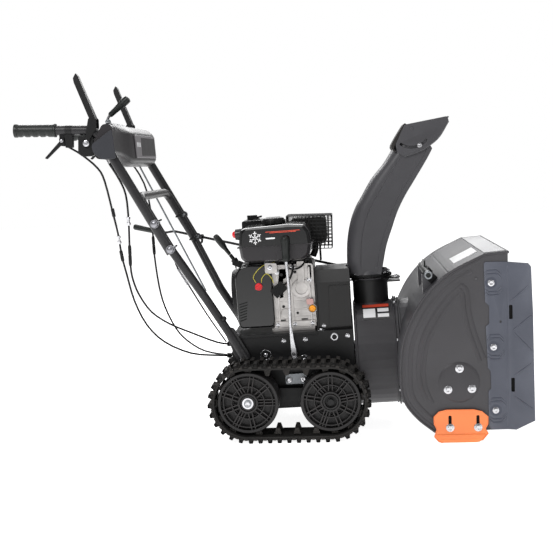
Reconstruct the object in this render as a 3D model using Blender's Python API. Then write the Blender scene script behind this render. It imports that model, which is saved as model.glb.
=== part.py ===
"""Two-stage tracked snowblower. Metres, +Z up, +X forward (towards the auger), Y = 0 is the middle plane.

The machine's body is drawn level and then pitched nose-up about the drive axle.
The tracks lie level on the ground.
"""

from math import atan2, cos, hypot, pi, radians, sin

import bmesh
import bpy
from mathutils import Matrix, Vector

# Driving dimensions
PITCH = radians(2.0)
AXLE = Vector((-0.0835, 0.0, 0.118))
IDLER = Vector((0.1585, 0.0, 0.118))
GAP = 0.0003
SHEET = 0.003
FRAME_HALF = 0.150
INTAKE_HALF = 0.320
CHEEK_INNER = INTAKE_HALF - SHEET
CRANKSHAFT = Vector((0.0, 0.0, 0.405))
IMPELLER_AXIS = Vector((0.0, 0.0, 0.1996))
AUGER_AXIS = Vector((0.5275, 0.0, 0.1527))
CHUTE_AXIS = Vector((0.297, 0.0, 0.437))
CHUTE_SWEEP = 0.0745
DEFLECTOR_HINGE = Vector((0.449, 0.0, 0.884))
DRUM_RADIUS = 0.162
AUGER_RADIUS = 0.130
IMPELLER_RADIUS = 0.157
TRACK_RADIUS = 0.118
TRACK_INNER_Y = 0.186
TRACK_OUTER_Y = 0.300
WHEEL_RADIUS = 0.0925
HANDLE_Y = 0.2655
HANDLE_RADIUS = 0.014
LEG_Y = 0.237
LEG_RADIUS = 0.013

for old in list(bpy.data.objects):
    bpy.data.objects.remove(old, do_unlink=True)


def material(name, colour, roughness, metallic=0.0):
    made = bpy.data.materials.new(name)
    made.use_nodes = True
    shader = made.node_tree.nodes["Principled BSDF"]
    shader.inputs["Base Color"].default_value = (*colour, 1.0)
    shader.inputs["Roughness"].default_value = roughness
    shader.inputs["Metallic"].default_value = metallic
    return made


CHARCOAL = material("charcoal_paint", (0.09, 0.09, 0.095), 0.5)
BLACK = material("black_paint", (0.02, 0.02, 0.022), 0.4)
PLASTIC = material("black_plastic", (0.03, 0.03, 0.032), 0.55)
SLATE = material("slate_paint", (0.12, 0.13, 0.17), 0.45)
ORANGE = material("orange_plastic", (0.95, 0.30, 0.08), 0.5)
RED = material("red_plastic", (0.6, 0.03, 0.03), 0.4)
YELLOW = material("yellow_plastic", (0.9, 0.35, 0.03), 0.5)
RUBBER = material("rubber", (0.03, 0.03, 0.03), 0.85)
STEEL = material("bright_steel", (0.65, 0.65, 0.66), 0.3, 1.0)
ALUMINIUM = material("cast_aluminium", (0.55, 0.55, 0.56), 0.5, 1.0)
IRON = material("cast_iron", (0.12, 0.12, 0.12), 0.6, 0.6)

machine = bpy.data.objects.new("machine", None)
bpy.context.collection.objects.link(machine)
machine.rotation_euler = (0.0, -PITCH, 0.0)
machine.location = AXLE - Matrix.Rotation(-PITCH, 3, "Y") @ AXLE


# Shape helpers: each returns a bmesh in the level machine frame
def prism(outline, low, high, axis="Y"):
    """A flat outline extruded from low to high along an axis. The outline holds the other two coordinates."""
    shape = bmesh.new()
    place = {
        "X": lambda a, b, h: (h, a, b),
        "Y": lambda a, b, h: (a, h, b),
        "Z": lambda a, b, h: (a, b, h),
    }[axis]
    rings = [[shape.verts.new(place(a, b, h)) for a, b in outline] for h in (low, high)]
    count = len(outline)
    shape.faces.new(rings[0])
    shape.faces.new(list(reversed(rings[1])))
    for i in range(count):
        j = (i + 1) % count
        shape.faces.new((rings[0][i], rings[1][i], rings[1][j], rings[0][j]))
    bmesh.ops.recalc_face_normals(shape, faces=shape.faces)
    return shape


def block(x, y, z):
    return prism([(x[0], z[0]), (x[1], z[0]), (x[1], z[1]), (x[0], z[1])], *y)


def turned(profile, centre, axis, steps=32):
    """A closed profile of (radius, height) points turned about an axis through the centre."""
    direction = Vector(axis).normalized()
    side = direction.orthogonal().normalized()
    other = direction.cross(side)
    shape = bmesh.new()
    rings = []
    for radius, height in profile:
        base = Vector(centre) + direction * height
        if radius == 0.0:
            rings.append([shape.verts.new(base)] * steps)
            continue
        angles = [2 * pi * k / steps for k in range(steps)]
        rings.append([shape.verts.new(base + (side * cos(a) + other * sin(a)) * radius) for a in angles])
    for i in range(len(rings)):
        lower, upper = rings[i], rings[(i + 1) % len(rings)]
        for k in range(steps):
            m = (k + 1) % steps
            corners = []
            for corner in (lower[k], lower[m], upper[m], upper[k]):
                if corner not in corners:
                    corners.append(corner)
            if len(corners) > 2:
                shape.faces.new(corners)
    bmesh.ops.recalc_face_normals(shape, faces=shape.faces)
    return shape


def disc(radius, low, high, centre, axis="Y", steps=32, bore=0.0):
    vector = {"X": (1, 0, 0), "Y": (0, 1, 0), "Z": (0, 0, 1)}[axis]
    return turned([(bore, low), (radius, low), (radius, high), (bore, high)], centre, vector, steps)


def smooth_path(points, spacing):
    """Points a given distance apart on one smooth curve through the route's own points."""
    route = [Vector(p) for p in points]
    ends = [2 * route[0] - route[1], *route, 2 * route[-1] - route[-2]]
    dense = []
    for a, b, c, d in zip(ends, ends[1:], ends[2:], ends[3:]):
        for k in range(24):
            t = k / 24
            dense.append(
                0.5
                * (
                    2 * b
                    + (c - a) * t
                    + (2 * a - 5 * b + 4 * c - d) * t**2
                    + (3 * b - a - 3 * c + d) * t**3
                )
            )
    dense.append(route[-1])
    lengths = [0.0]
    for a, b in zip(dense, dense[1:]):
        lengths.append(lengths[-1] + (b - a).length)
    count = max(2, round(lengths[-1] / spacing))
    path = []
    k = 0
    for step in range(count + 1):
        target = lengths[-1] * step / count
        while k < len(dense) - 2 and lengths[k + 1] < target:
            k += 1
        span = lengths[k + 1] - lengths[k]
        path.append(dense[k].lerp(dense[k + 1], (target - lengths[k]) / span))
    return path


def bent(points, bend_radius, steps=5):
    """A path of straight runs whose corners are rounded to a bend radius."""
    route = [Vector(p) for p in points]
    path = [route[0]]
    for a, b, c in zip(route, route[1:], route[2:]):
        back = (a - b).normalized()
        on = (c - b).normalized()
        half = back.angle(on) / 2
        wanted = bend_radius / max(0.05, abs(sin(half) / cos(half)))
        cut = min(wanted, 0.45 * min((a - b).length, (c - b).length))
        first, last = b + back * cut, b + on * cut
        for k in range(steps + 1):
            t = k / steps
            path.append(first * (1 - t) ** 2 + 2 * b * t * (1 - t) + last * t**2)
    path.append(route[-1])
    return path


def pipe(path, radius, sides=12, bore=0.0):
    """A round bar or, with a bore, a tube that follows a path."""
    shape = bmesh.new()
    frames = []
    across = None
    for i, point in enumerate(path):
        on = (path[min(i + 1, len(path) - 1)] - path[max(i - 1, 0)]).normalized()
        across = on.orthogonal() if across is None else across - on * across.dot(on)
        across.normalize()
        frames.append((point, across, on.cross(across)))

    def skin(size):
        return [
            [
                shape.verts.new(p + (u * cos(2 * pi * k / sides) + v * sin(2 * pi * k / sides)) * size)
                for k in range(sides)
            ]
            for p, u, v in frames
        ]

    def walls(first, second):
        for k in range(sides):
            m = (k + 1) % sides
            shape.faces.new((first[k], first[m], second[m], second[k]))

    outer = skin(radius)
    for a, b in zip(outer, outer[1:]):
        walls(a, b)
    if bore:
        inner = skin(bore)
        for a, b in zip(inner, inner[1:]):
            walls(b, a)
        walls(inner[0], outer[0])
        walls(outer[-1], inner[-1])
    else:
        shape.faces.new(list(reversed(outer[0])))
        shape.faces.new(outer[-1])
    bmesh.ops.recalc_face_normals(shape, faces=shape.faces)
    return shape


def rod(start, end, radius, sides=12):
    return pipe([Vector(start), Vector(end)], radius, sides)


def to_object(shape, name):
    mesh = bpy.data.meshes.new(name)
    shape.to_mesh(mesh)
    shape.free()
    made = bpy.data.objects.new(name, mesh)
    bpy.context.collection.objects.link(made)
    return made


def joined(first, *steps):
    """Combines shapes one after another: each step is ("UNION" or "DIFFERENCE" or "INTERSECT", shape)."""
    for operation, shape in steps:
        base = to_object(first, "blank")
        tool = to_object(shape, "tool")
        modifier = base.modifiers.new("combine", "BOOLEAN")
        modifier.operation = operation
        modifier.object = tool
        graph = bpy.context.evaluated_depsgraph_get()
        first = bmesh.new()
        first.from_mesh(bpy.data.meshes.new_from_object(base.evaluated_get(graph)))
        bpy.data.objects.remove(base, do_unlink=True)
        bpy.data.objects.remove(tool, do_unlink=True)
        bmesh.ops.remove_doubles(first, verts=first.verts, dist=1e-6)
        bmesh.ops.dissolve_limit(first, angle_limit=radians(0.4), verts=first.verts, edges=first.edges)
    return first


def union(first, *others):
    return joined(first, *(("UNION", other) for other in others))


def less(first, *others):
    return joined(first, *(("DIFFERENCE", other) for other in others))


def node(name, shape, look, pivot=(0.0, 0.0, 0.0), level=False):
    """Makes a named sub-part with its origin on its pivot. A level part isn't pitched with the machine."""
    pivot = Vector(pivot)
    bmesh.ops.translate(shape, vec=-pivot, verts=shape.verts)
    bmesh.ops.triangulate(shape, faces=[f for f in shape.faces if len(f.verts) > 4])
    made = to_object(shape, name)
    made.location = pivot
    made.data.materials.append(look)
    made.data.shade_smooth()
    made.data.set_sharp_from_angle(angle=radians(35))
    if not level:
        made.parent = machine
    return made


def mirrored(shape):
    copy = shape.copy()
    bmesh.ops.scale(copy, vec=(1, -1, 1), verts=copy.verts)
    bmesh.ops.reverse_faces(copy, faces=copy.faces)
    return copy


def pair(name, shape, look, pivot=(0.0, 0.0, 0.0), level=False):
    """The right-hand part, drawn on the -Y side, and its left-hand mirror image."""
    other = mirrored(shape)
    node("right_" + name, shape, look, pivot, level)
    node("left_" + name, other, look, (pivot[0], -pivot[1], pivot[2]), level)


# Frame, covers and impeller housing
DECK_TOP = 0.297
FRAME_BOTTOM = 0.067
FRAME_FRONT = 0.235


def chassis():
    outline = [
        (-0.132, DECK_TOP),
        (-0.137, 0.205),
        (-0.130, 0.105),
        (-0.108, FRAME_BOTTOM),
        (FRAME_FRONT, FRAME_BOTTOM),
        (FRAME_FRONT, DECK_TOP),
    ]
    inside = [
        (-0.129, DECK_TOP - 0.004),
        (-0.134, 0.205),
        (-0.127, 0.106),
        (-0.090, 0.050),
        (FRAME_FRONT - SHEET, 0.050),
        (FRAME_FRONT - SHEET, DECK_TOP - 0.004),
    ]
    inner = FRAME_HALF - SHEET
    return less(
        prism(outline, -FRAME_HALF, FRAME_HALF),
        prism(inside, -inner, inner),
        block((0.130, 0.228), (-0.100, 0.100), (0.280, 0.310)),
        disc(0.0125, -0.2, 0.2, AXLE, steps=24),
        disc(0.0110, 0.20, 0.26, IMPELLER_AXIS, "X", 24),
    )


def belt_cover():
    half, inner = 0.122, 0.119
    low, high = DECK_TOP + GAP, 0.4754
    outer = [(-half, low), (half, low), (half, 0.440), (0.085, high), (-0.085, high), (-half, 0.440)]
    hollow = [(-inner, 0.28), (inner, 0.28), (inner, 0.4385), (0.084, high - SHEET), (-0.084, high - SHEET)]
    hollow.append((-inner, 0.4385))
    # A round recess leaves room for the chute to turn
    recess = disc(CHUTE_SWEEP, -0.012, 0.1, CHUTE_AXIS, "Z", 32)
    recess_wall = disc(CHUTE_SWEEP + SHEET, -0.015, 0.1, CHUTE_AXIS, "Z", 32)
    return less(
        prism(outer, 0.1285, 0.2345, "X"),
        recess,
        less(prism(hollow, 0.1315, 0.2315, "X"), recess_wall),
        disc(0.016, 0.10, 0.14, CRANKSHAFT, "X", 24),
    )


TOOL = Vector((0.4590, -0.165, 0.4620))
TOOL_RADIUS = 0.0110
TOOL_CLIPS = (-0.255, -0.060)
COLLAR_RADIUS = 0.052
WORM_CENTRE = Vector((0.324, 0.080, 0.436))
DRUM_REAR = 0.2385
DRUM_FRONT = 0.3720
DRUM_FLANGE_RADIUS = DRUM_RADIUS + 0.008


def impeller_housing():
    rear_wall = disc(DRUM_RADIUS, DRUM_REAR, DRUM_FRONT, IMPELLER_AXIS, "X", 40)
    flange = disc(DRUM_FLANGE_RADIUS, DRUM_FRONT - 0.004, DRUM_FRONT, IMPELLER_AXIS, "X", 40)
    collar = disc(COLLAR_RADIUS, -0.10, -0.002, CHUTE_AXIS, "Z", 32)
    collar_rim = disc(COLLAR_RADIUS + 0.006, -0.005, -0.001, CHUTE_AXIS, "Z", 32)
    shelf = block((0.306, 0.392), (0.028, 0.102), (0.4130, 0.4170))
    return less(
        union(rear_wall, flange, collar, collar_rim, shelf),
        disc(DRUM_RADIUS - 0.0025, DRUM_REAR + SHEET, DRUM_FRONT + 0.02, IMPELLER_AXIS, "X", 40),
        disc(COLLAR_RADIUS - 0.0025, -0.15, 0.02, CHUTE_AXIS, "Z", 32),
        disc(0.0110, 0.20, 0.26, IMPELLER_AXIS, "X", 24),
    )


# The auger housing's back curls from the scraper bar, round behind the auger, to the flat top
BACK_CURL = [
    (0.4509, 0.0098),
    (0.4035, 0.0520),
    (0.3680, 0.1050),
    (0.3605, 0.1700),
    (0.3733, 0.2753),
    (0.4131, 0.3629),
    (0.4626, 0.4259),
    (0.5223, 0.4724),
    (0.6156, 0.5144),
]
CHEEK_TOP_FRONT = (0.6820, 0.5170)
CHEEK_BOTTOM_FRONT = (0.6600, 0.0098)


def curl():
    return [(p.x, p.z) for p in smooth_path([(x, 0.0, z) for x, z in BACK_CURL], 0.030)]


def inset(path, depth):
    """The same open path moved to its right-hand side by a depth."""
    moved = []
    for i, (x, z) in enumerate(path):
        a, b = path[max(i - 1, 0)], path[min(i + 1, len(path) - 1)]
        run = hypot(b[0] - a[0], b[1] - a[1])
        moved.append((x + (b[1] - a[1]) / run * depth, z - (b[0] - a[0]) / run * depth))
    return moved


def auger_housing():
    half = CHEEK_INNER - GAP
    path = [(0.540, 0.0098), *curl(), CHEEK_TOP_FRONT]
    shell = prism([*path, *reversed(inset(path, 0.0025))], -half, half)
    # The neck reaches from the back shell to the drum's flange and ends on the shell's inner face
    neck = joined(
        disc(DRUM_RADIUS, DRUM_FRONT + GAP, 0.50, IMPELLER_AXIS, "X", 40),
        ("DIFFERENCE", prism([*inset(path, 0.0015), (0.9, 0.517), (0.9, 0.0098)], -0.3, 0.3)),
    )
    clip = [(0.4430, 0.3980), (0.4690, 0.4280), (0.4690, 0.4600), (0.4430, 0.4600)]
    clips = [prism(clip, y - 0.012, y + 0.012) for y in TOOL_CLIPS]
    cradle = rod(TOOL + Vector((0, -0.3, 0)), TOOL + Vector((0, 0.3, 0)), TOOL_RADIUS + GAP, 16)
    return less(
        union(shell, neck, *clips),
        cradle,
        disc(DRUM_RADIUS - 0.0025, 0.30, 0.56, IMPELLER_AXIS, "X", 40),
        disc(DRUM_FLANGE_RADIUS + 0.0010, 0.30, DRUM_FRONT + GAP, IMPELLER_AXIS, "X", 40),
    )


def cheek():
    """The right side plate, with the raised seat of the auger bearing."""
    outline = [*curl(), CHEEK_TOP_FRONT, CHEEK_BOTTOM_FRONT]
    plate = prism(outline, -INTAKE_HALF, -CHEEK_INNER)
    profile = [(0.0, 0.0), (0.056, 0.0), (0.050, -0.004), (0.0, -0.004)]
    seat = turned(profile, AUGER_AXIS + Vector((0.0, -0.3185, 0.0)), (0, 1, 0), 32)
    return union(plate, seat)


def scraper_bar():
    half = CHEEK_INNER - GAP
    return prism([(0.541, 0.0030), (0.590, 0.0030), (0.590, 0.0100), (0.541, 0.0100)], -half, half)


def bent_plate(left, right, base_y, flare):
    """A sheet in two flat parts that meet on the straight edge shared by the two outlines."""
    shape = bmesh.new()
    first, last = Vector(left[0]), Vector(left[-1])
    along = (last - first).normalized()
    corners = {}

    def corner(point):
        offset = Vector(point) - first
        out = max(0.0, along.x * offset.y - along.y * offset.x)
        if point not in corners:
            corners[point] = shape.verts.new((point[0], base_y - out * flare, point[1]))
        return corners[point]

    shape.faces.new([corner(p) for p in left])
    shape.faces.new([corner(p) for p in reversed(right)])
    bmesh.ops.recalc_face_normals(shape, faces=shape.faces)
    sheet = to_object(shape, "sheet")
    modifier = sheet.modifiers.new("thickness", "SOLIDIFY")
    modifier.thickness = 0.002
    modifier.offset = 0.0
    graph = bpy.context.evaluated_depsgraph_get()
    solid = bmesh.new()
    solid.from_mesh(bpy.data.meshes.new_from_object(sheet.evaluated_get(graph)))
    bpy.data.objects.remove(sheet, do_unlink=True)
    bmesh.ops.recalc_face_normals(solid, faces=solid.faces)
    return solid


def extension_plate():
    fold_top, fold_low = (0.6784, 0.4885), (0.6575, 0.0094)
    left = [
        fold_low,
        (0.6123, 0.0103),
        (0.6045, 0.0226),
        (0.6083, 0.1211),
        (0.6164, 0.1305),
        (0.6170, 0.1795),
        (0.6099, 0.1897),
        (0.6102, 0.3087),
        (0.6200, 0.3159),
        (0.6226, 0.3661),
        (0.6118, 0.3784),
        (0.6135, 0.4862),
        (0.6176, 0.4917),
        fold_top,
    ]
    right = [
        fold_low,
        (0.6812, 0.0085),
        (0.7321, 0.0354),
        (0.7406, 0.3433),
        (0.7409, 0.4722),
        (0.7339, 0.4822),
        fold_top,
    ]
    return bent_plate(left, right, -(INTAKE_HALF + GAP + 0.001), 0.30)


SHOE_BOLTS = (0.4970, 0.5770)


def skid_shoe():
    """Drawn in the level ground frame, because the shoe is set flat on the ground."""
    plate_y = (-0.3275, -0.3245)
    outline = [
        (0.4525, 0.014),
        (0.4645, 0.0),
        (0.5835, 0.0),
        (0.6045, 0.022),
        (0.5985, 0.045),
        (0.6015, 0.072),
        (0.5745, 0.093),
        (0.4825, 0.095),
        (0.4555, 0.074),
    ]
    runner = block((0.4645, 0.5835), (-0.3260, -0.2900), (0.0, 0.0040))
    slots = [block((x - 0.004, x + 0.004), (-0.34, -0.31), (0.040, 0.076)) for x in SHOE_BOLTS]
    bosses = [disc(0.010, -0.3250, -0.3204, (x, 0.0, 0.030), steps=16) for x in SHOE_BOLTS]
    return union(less(prism(outline, *plate_y), *slots), runner, *bosses)


# Auger, impeller and their drive
def gearbox():
    case = union(
        disc(0.050, -0.026, 0.026, AUGER_AXIS, steps=24),
        disc(0.022, 0.462, 0.592, IMPELLER_AXIS, "X", 16),
        disc(0.026, -0.045, 0.045, AUGER_AXIS, steps=16),
    )
    return less(
        case,
        disc(0.0445, -0.021, 0.021, AUGER_AXIS, steps=24),
        disc(0.0165, 0.450, 0.582, IMPELLER_AXIS, "X", 16),
        disc(0.0134, -0.060, 0.060, AUGER_AXIS, steps=16),
    )


def auger_shaft():
    half = CHEEK_INNER - 0.0006
    return union(
        disc(0.0125, -half, half, AUGER_AXIS, steps=20),
        disc(0.0352, -0.012, 0.012, AUGER_AXIS, steps=28),
    )


def auger():
    """The right auger: a ribbon wound on a tube that slides over the shaft."""
    near, far = -0.052, -0.312
    turns, steps = 1.5, 42
    inner, outer, thick = 0.098, AUGER_RADIUS, 0.004
    ribbon = bmesh.new()
    rings = []
    for k in range(steps + 1):
        t = k / steps
        angle = 2 * pi * turns * t
        y = -0.062 + (-0.304 + 0.062) * t
        ring = []
        for radius, way in ((inner, -1), (outer, -1), (outer, 1), (inner, 1)):
            x = AUGER_AXIS.x + radius * cos(angle)
            z = AUGER_AXIS.z + radius * sin(angle)
            ring.append(ribbon.verts.new((x, y + way * thick / 2, z)))
        rings.append(ring)
    for a, b in zip(rings, rings[1:]):
        for i in range(4):
            j = (i + 1) % 4
            ribbon.faces.new((a[i], a[j], b[j], b[i]))
    ribbon.faces.new(rings[0])
    ribbon.faces.new(list(reversed(rings[-1])))
    bmesh.ops.recalc_face_normals(ribbon, faces=ribbon.faces)
    tube = disc(0.0175, far, near, AUGER_AXIS, steps=20, bore=0.0131)
    arms = []
    for t in (0.04, 0.35, 0.66, 0.96):
        angle = 2 * pi * turns * t
        y = -0.062 + (-0.304 + 0.062) * t
        out = Vector((cos(angle), 0.0, sin(angle)))
        start = AUGER_AXIS + Vector((0, y, 0)) + out * 0.0155
        arms.append(rod(start, AUGER_AXIS + Vector((0, y, 0)) + out * 0.112, 0.0065, 8))
    return union(ribbon, tube, *arms)


def impeller():
    hub = disc(0.020, 0.258, 0.336, IMPELLER_AXIS, "X", 24, bore=0.0098)
    blades = []
    for k in range(4):
        blade = block((0.260, 0.334), (0.016, IMPELLER_RADIUS), (-0.002, 0.002))
        turn = Matrix.Rotation(radians(20 + 90 * k), 4, "X")
        bmesh.ops.transform(blade, matrix=Matrix.Translation(IMPELLER_AXIS) @ turn, verts=blade.verts)
        blades.append(blade)
    return union(hub, *blades)


def impeller_shaft():
    return union(
        disc(0.0095, 0.150, 0.578, IMPELLER_AXIS, "X", 20),
        disc(0.0112, 0.500, 0.556, IMPELLER_AXIS, "X", 20),
    )


def grooved(centre, radius, bore):
    low, high = 0.164, 0.196
    floor = radius - 0.010
    profile = [
        (bore, low),
        (radius, low),
        (radius, low + 0.004),
        (floor, low + 0.008),
        (floor, high - 0.008),
        (radius, high - 0.004),
        (radius, high),
        (bore, high),
    ]
    return turned(profile, centre, (1, 0, 0), 24)


IMPELLER_PULLEY_RADIUS = 0.080
ENGINE_PULLEY_RADIUS = 0.040


def drive_belt():
    """The V-belt's loop round both pulleys."""

    def wrap(grow):
        big = IMPELLER_PULLEY_RADIUS - 0.010 + grow
        small = ENGINE_PULLEY_RADIUS - 0.010 + grow
        rise = CRANKSHAFT.z - IMPELLER_AXIS.z
        tilt = atan2(big - small, rise)
        low = [(-pi - tilt) + (pi + 2 * tilt) * k / 24 for k in range(25)]
        high = [tilt + (pi - 2 * tilt) * k / 16 for k in range(17)]
        around_low = [(big * cos(a), IMPELLER_AXIS.z + big * sin(a)) for a in low]
        around_high = [(small * cos(a), CRANKSHAFT.z + small * sin(a)) for a in high]
        return around_low + around_high

    ring = bmesh.new()
    loops = []
    for grow in (0.0007, 0.0085):
        for x in (0.1745, 0.1855):
            loops.append([ring.verts.new((x, y, z)) for y, z in wrap(grow)])
    inner_low, inner_high, outer_low, outer_high = loops
    count = len(inner_low)
    around = (inner_low, inner_high, outer_high, outer_low)
    for a, b in zip(around, around[1:] + around[:1]):
        for i in range(count):
            j = (i + 1) % count
            ring.faces.new((a[i], a[j], b[j], b[i]))
    bmesh.ops.recalc_face_normals(ring, faces=ring.faces)
    return ring


# Engine
def rounded(outline, radius, steps=3):
    """An outline with its corners rounded."""
    points = []
    count = len(outline)
    for i in range(count):
        a, b, c = (Vector(outline[(i + k) % count]) for k in (-1, 0, 1))
        first = b + (a - b).normalized() * radius
        last = b + (c - b).normalized() * radius
        for k in range(steps + 1):
            t = k / steps
            points.append(tuple(first * (1 - t) ** 2 + 2 * b * t * (1 - t) + last * t**2))
    return points


def crankcase():
    body = prism(
        rounded([(-0.002, 0.3055), (0.126, 0.3055), (0.126, 0.500), (-0.002, 0.500)], 0.012),
        -0.104,
        0.095,
    )
    feet = block((-0.010, 0.120), (-0.112, 0.112), (DECK_TOP + GAP, 0.3075))
    cylinder = block((0.006, 0.112), (0.090, 0.146), (0.400, 0.512))
    neck = rod((0.112, -0.098, 0.362), (0.116, -0.121, 0.3635), 0.0125, 16)
    return union(body, feet, cylinder, neck)


def blower_housing():
    outline = rounded([(-0.115, 0.3150), (0.115, 0.3150), (0.115, 0.508), (-0.115, 0.508)], 0.045, 5)
    return prism(outline, -0.0925, -0.0026, "X")


RECOIL_CENTRE = Vector((0.0, 0.0, 0.4090))


def recoil_cover():
    profile = [(0.0, -0.0928), (0.0850, -0.0928), (0.0850, -0.112), (0.0740, -0.1300), (0.0, -0.1300)]
    return turned(profile, RECOIL_CENTRE, (1, 0, 0), 40)


PULL_FROM = Vector((-0.1345, -0.020, 0.536))
PULL_TO = Vector((-0.1783, -0.020, 0.6006))


def starter_handle():
    direction = (PULL_TO - PULL_FROM).normalized()
    profile = [
        (0.0, 0.0),
        (0.0055, 0.0),
        (0.0085, 0.022),
        (0.0130, 0.030),
        (0.0130, 0.052),
        (0.0105, 0.074),
        (0.0, 0.078),
    ]
    return turned(profile, PULL_FROM, direction, 20)


def fuel_tank():
    outline = [
        (-0.086, 0.5145),
        (0.114, 0.5145),
        (0.125, 0.530),
        (0.128, 0.563),
        (0.123, 0.603),
        (0.108, 0.6225),
        (-0.076, 0.6225),
        (-0.088, 0.6100),
        (-0.093, 0.564),
        (-0.091, 0.524),
    ]
    body = prism(rounded(outline, 0.005), -0.150, 0.046)
    neck = disc(0.026, 0.620, 0.6265, (0.0125, -0.060, 0.0), "Z", 24)
    boss = disc(0.0150, -0.1075, -0.0800, (0.0, -0.075, 0.6000), "X", 24)
    recess = disc(0.0121, -0.1200, -0.0990, (0.0, -0.075, 0.6000), "X", 24)
    return less(union(body, neck, boss), recess)


def fuel_cap():
    profile = [(0.0, 0.6268), (0.0355, 0.6268), (0.0365, 0.642), (0.0300, 0.6485), (0.0, 0.6485)]
    return turned(profile, (0.0125, -0.060, 0.0), (0, 0, 1), 28)


def intake_cover():
    outline = [(-0.098, 0.5200), (-0.022, 0.5200), (-0.022, 0.6260), (-0.034, 0.6330), (-0.098, 0.6330)]
    knob = block((-0.084, -0.052), (0.104, 0.116), (0.6320, 0.6480))
    return union(prism(rounded(outline, 0.008), 0.052, 0.165), knob)


def muffler():
    outline = rounded([(0.055, 0.5450), (0.170, 0.5450), (0.170, 0.6300), (0.055, 0.6300)], 0.018)
    return prism(outline, 0.066, 0.164)


def muffler_guard():
    """A cage of bars round the muffler, open underneath."""
    outer = block((0.0425, 0.1835), (0.0520, 0.1780), (0.5380, 0.6440))
    hollow = block((0.0465, 0.1795), (0.0560, 0.1740), (0.5300, 0.6400))
    cuts = []
    for low, high in ((0.0500, 0.0920), (0.0960, 0.1340), (0.1380, 0.1760)):
        cuts.append(block((low, high), (0.04, 0.19), (0.5440, 0.5880)))
        cuts.append(block((low, high), (0.04, 0.19), (0.5930, 0.6350)))
        cuts.append(block((low, high), (0.062, 0.168), (0.63, 0.66)))
    cuts.append(block((0.03, 0.20), (0.062, 0.168), (0.5440, 0.6350)))
    return less(outer, hollow, *cuts)


def primer_bulb():
    profile = [(0.0, -0.1035), (0.0115, -0.1035), (0.0115, -0.108), (0.0075, -0.1145), (0.0, -0.1165)]
    return turned(profile, (0.0, -0.075, 0.6000), (1, 0, 0), 20)


# Handlebars and controls
def leg_route(side):
    return [
        (-0.2810, side * LEG_Y, 0.5780),
        (-0.1968, side * 0.1660, 0.4138),
        (-0.1320, side * 0.1640, 0.3000),
        (-0.0930, side * 0.1640, 0.2250),
    ]


def lower_handlebar():
    """An inverted U: two legs and the crossbar, in one bent tube."""
    right, left = leg_route(-1), leg_route(1)
    route = [*reversed(right), (-0.3640, -LEG_Y, 0.7390), (-0.3640, LEG_Y, 0.7390), *left]
    return pipe(bent(route, 0.045, 3), LEG_RADIUS, 10)


HANDLE_ROUTE = [
    (-0.7015, -HANDLE_Y, 0.9550),
    (-0.4660, -HANDLE_Y, 0.9400),
    (-0.2770, -HANDLE_Y, 0.5700),
]
CLUTCH_PIVOT = Vector((-0.4949, -HANDLE_Y, 0.9038))
STEER_PIVOT = Vector((-0.5675, -HANDLE_Y, 0.9164))


def upper_handlebar():
    tube = pipe(bent(HANDLE_ROUTE, 0.060, 6), HANDLE_RADIUS, 12)
    clutch_lug = block((-0.5040, -0.4876), (-HANDLE_Y - 0.006, -HANDLE_Y + 0.006), (0.8960, 0.9310))
    clutch_pin = rod(CLUTCH_PIVOT + Vector((0, -0.0195, 0)), CLUTCH_PIVOT + Vector((0, 0.0195, 0)), 0.0032)
    steer_lug = block((-0.5750, -0.5600), (-HANDLE_Y - 0.005, -HANDLE_Y + 0.005), (0.9080, 0.9370))
    steer_pin = rod(STEER_PIVOT + Vector((0, -0.0140, 0)), STEER_PIVOT, 0.0032)
    return union(tube, clutch_lug, clutch_pin, steer_lug, steer_pin)


def grip():
    axis = (Vector(HANDLE_ROUTE[0]) - Vector(HANDLE_ROUTE[1])).normalized()
    start = Vector(HANDLE_ROUTE[0]) - axis * 0.118
    profile = [
        (HANDLE_RADIUS + GAP, 0.0),
        (0.0195, 0.0),
        (0.0195, 0.004),
        (0.0170, 0.007),
        (0.0170, 0.118),
        (0.0150, 0.1222),
        (0.0, 0.1222),
        (0.0, 0.1184),
        (HANDLE_RADIUS + GAP, 0.1184),
    ]
    return turned(profile, start, axis, 20)


def clutch_lever():
    """A blade above the grip on two ears that straddle the handlebar."""
    blade = prism(
        rounded([(-0.4784, 0.9700), (-0.4606, 0.9700), (-0.5045, 1.1050), (-0.5160, 1.1080)], 0.003),
        -HANDLE_Y - 0.0186,
        -HANDLE_Y + 0.0186,
    )
    trim = [
        block((-0.60, -0.40), (-0.32, -HANDLE_Y - 0.0105), (0.985, 1.2)),
        block((-0.60, -0.40), (-HANDLE_Y + 0.0105, -0.20), (0.985, 1.2)),
    ]
    ear = [(-0.5030, 0.8950), (-0.4870, 0.8950), (-0.4570, 0.9560), (-0.4657, 0.9860), (-0.4825, 0.9860)]
    ear = rounded(ear, 0.004)
    ears = [prism(ear, -HANDLE_Y + s - 0.0020, -HANDLE_Y + s + 0.0020) for s in (-0.0166, 0.0166)]
    hole = disc(0.0036, -0.30, -0.23, CLUTCH_PIVOT * Vector((1, 0, 1)), steps=16)
    return less(union(less(blade, *trim), *ears), hole)


def steering_lever():
    outline = [(-0.5745, 0.9230), (-0.5600, 0.9230), (-0.5600, 0.9080), (-0.6200, 0.8650), (-0.6270, 0.8730)]
    blade = prism(rounded(outline, 0.003), -HANDLE_Y - 0.0115, -HANDLE_Y - 0.0060)
    return less(blade, disc(0.0036, -0.30, -0.25, STEER_PIVOT * Vector((1, 0, 1)), steps=16))


SPEED_PIVOT = Vector((-0.4700, 0.0, 0.9000))


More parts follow.
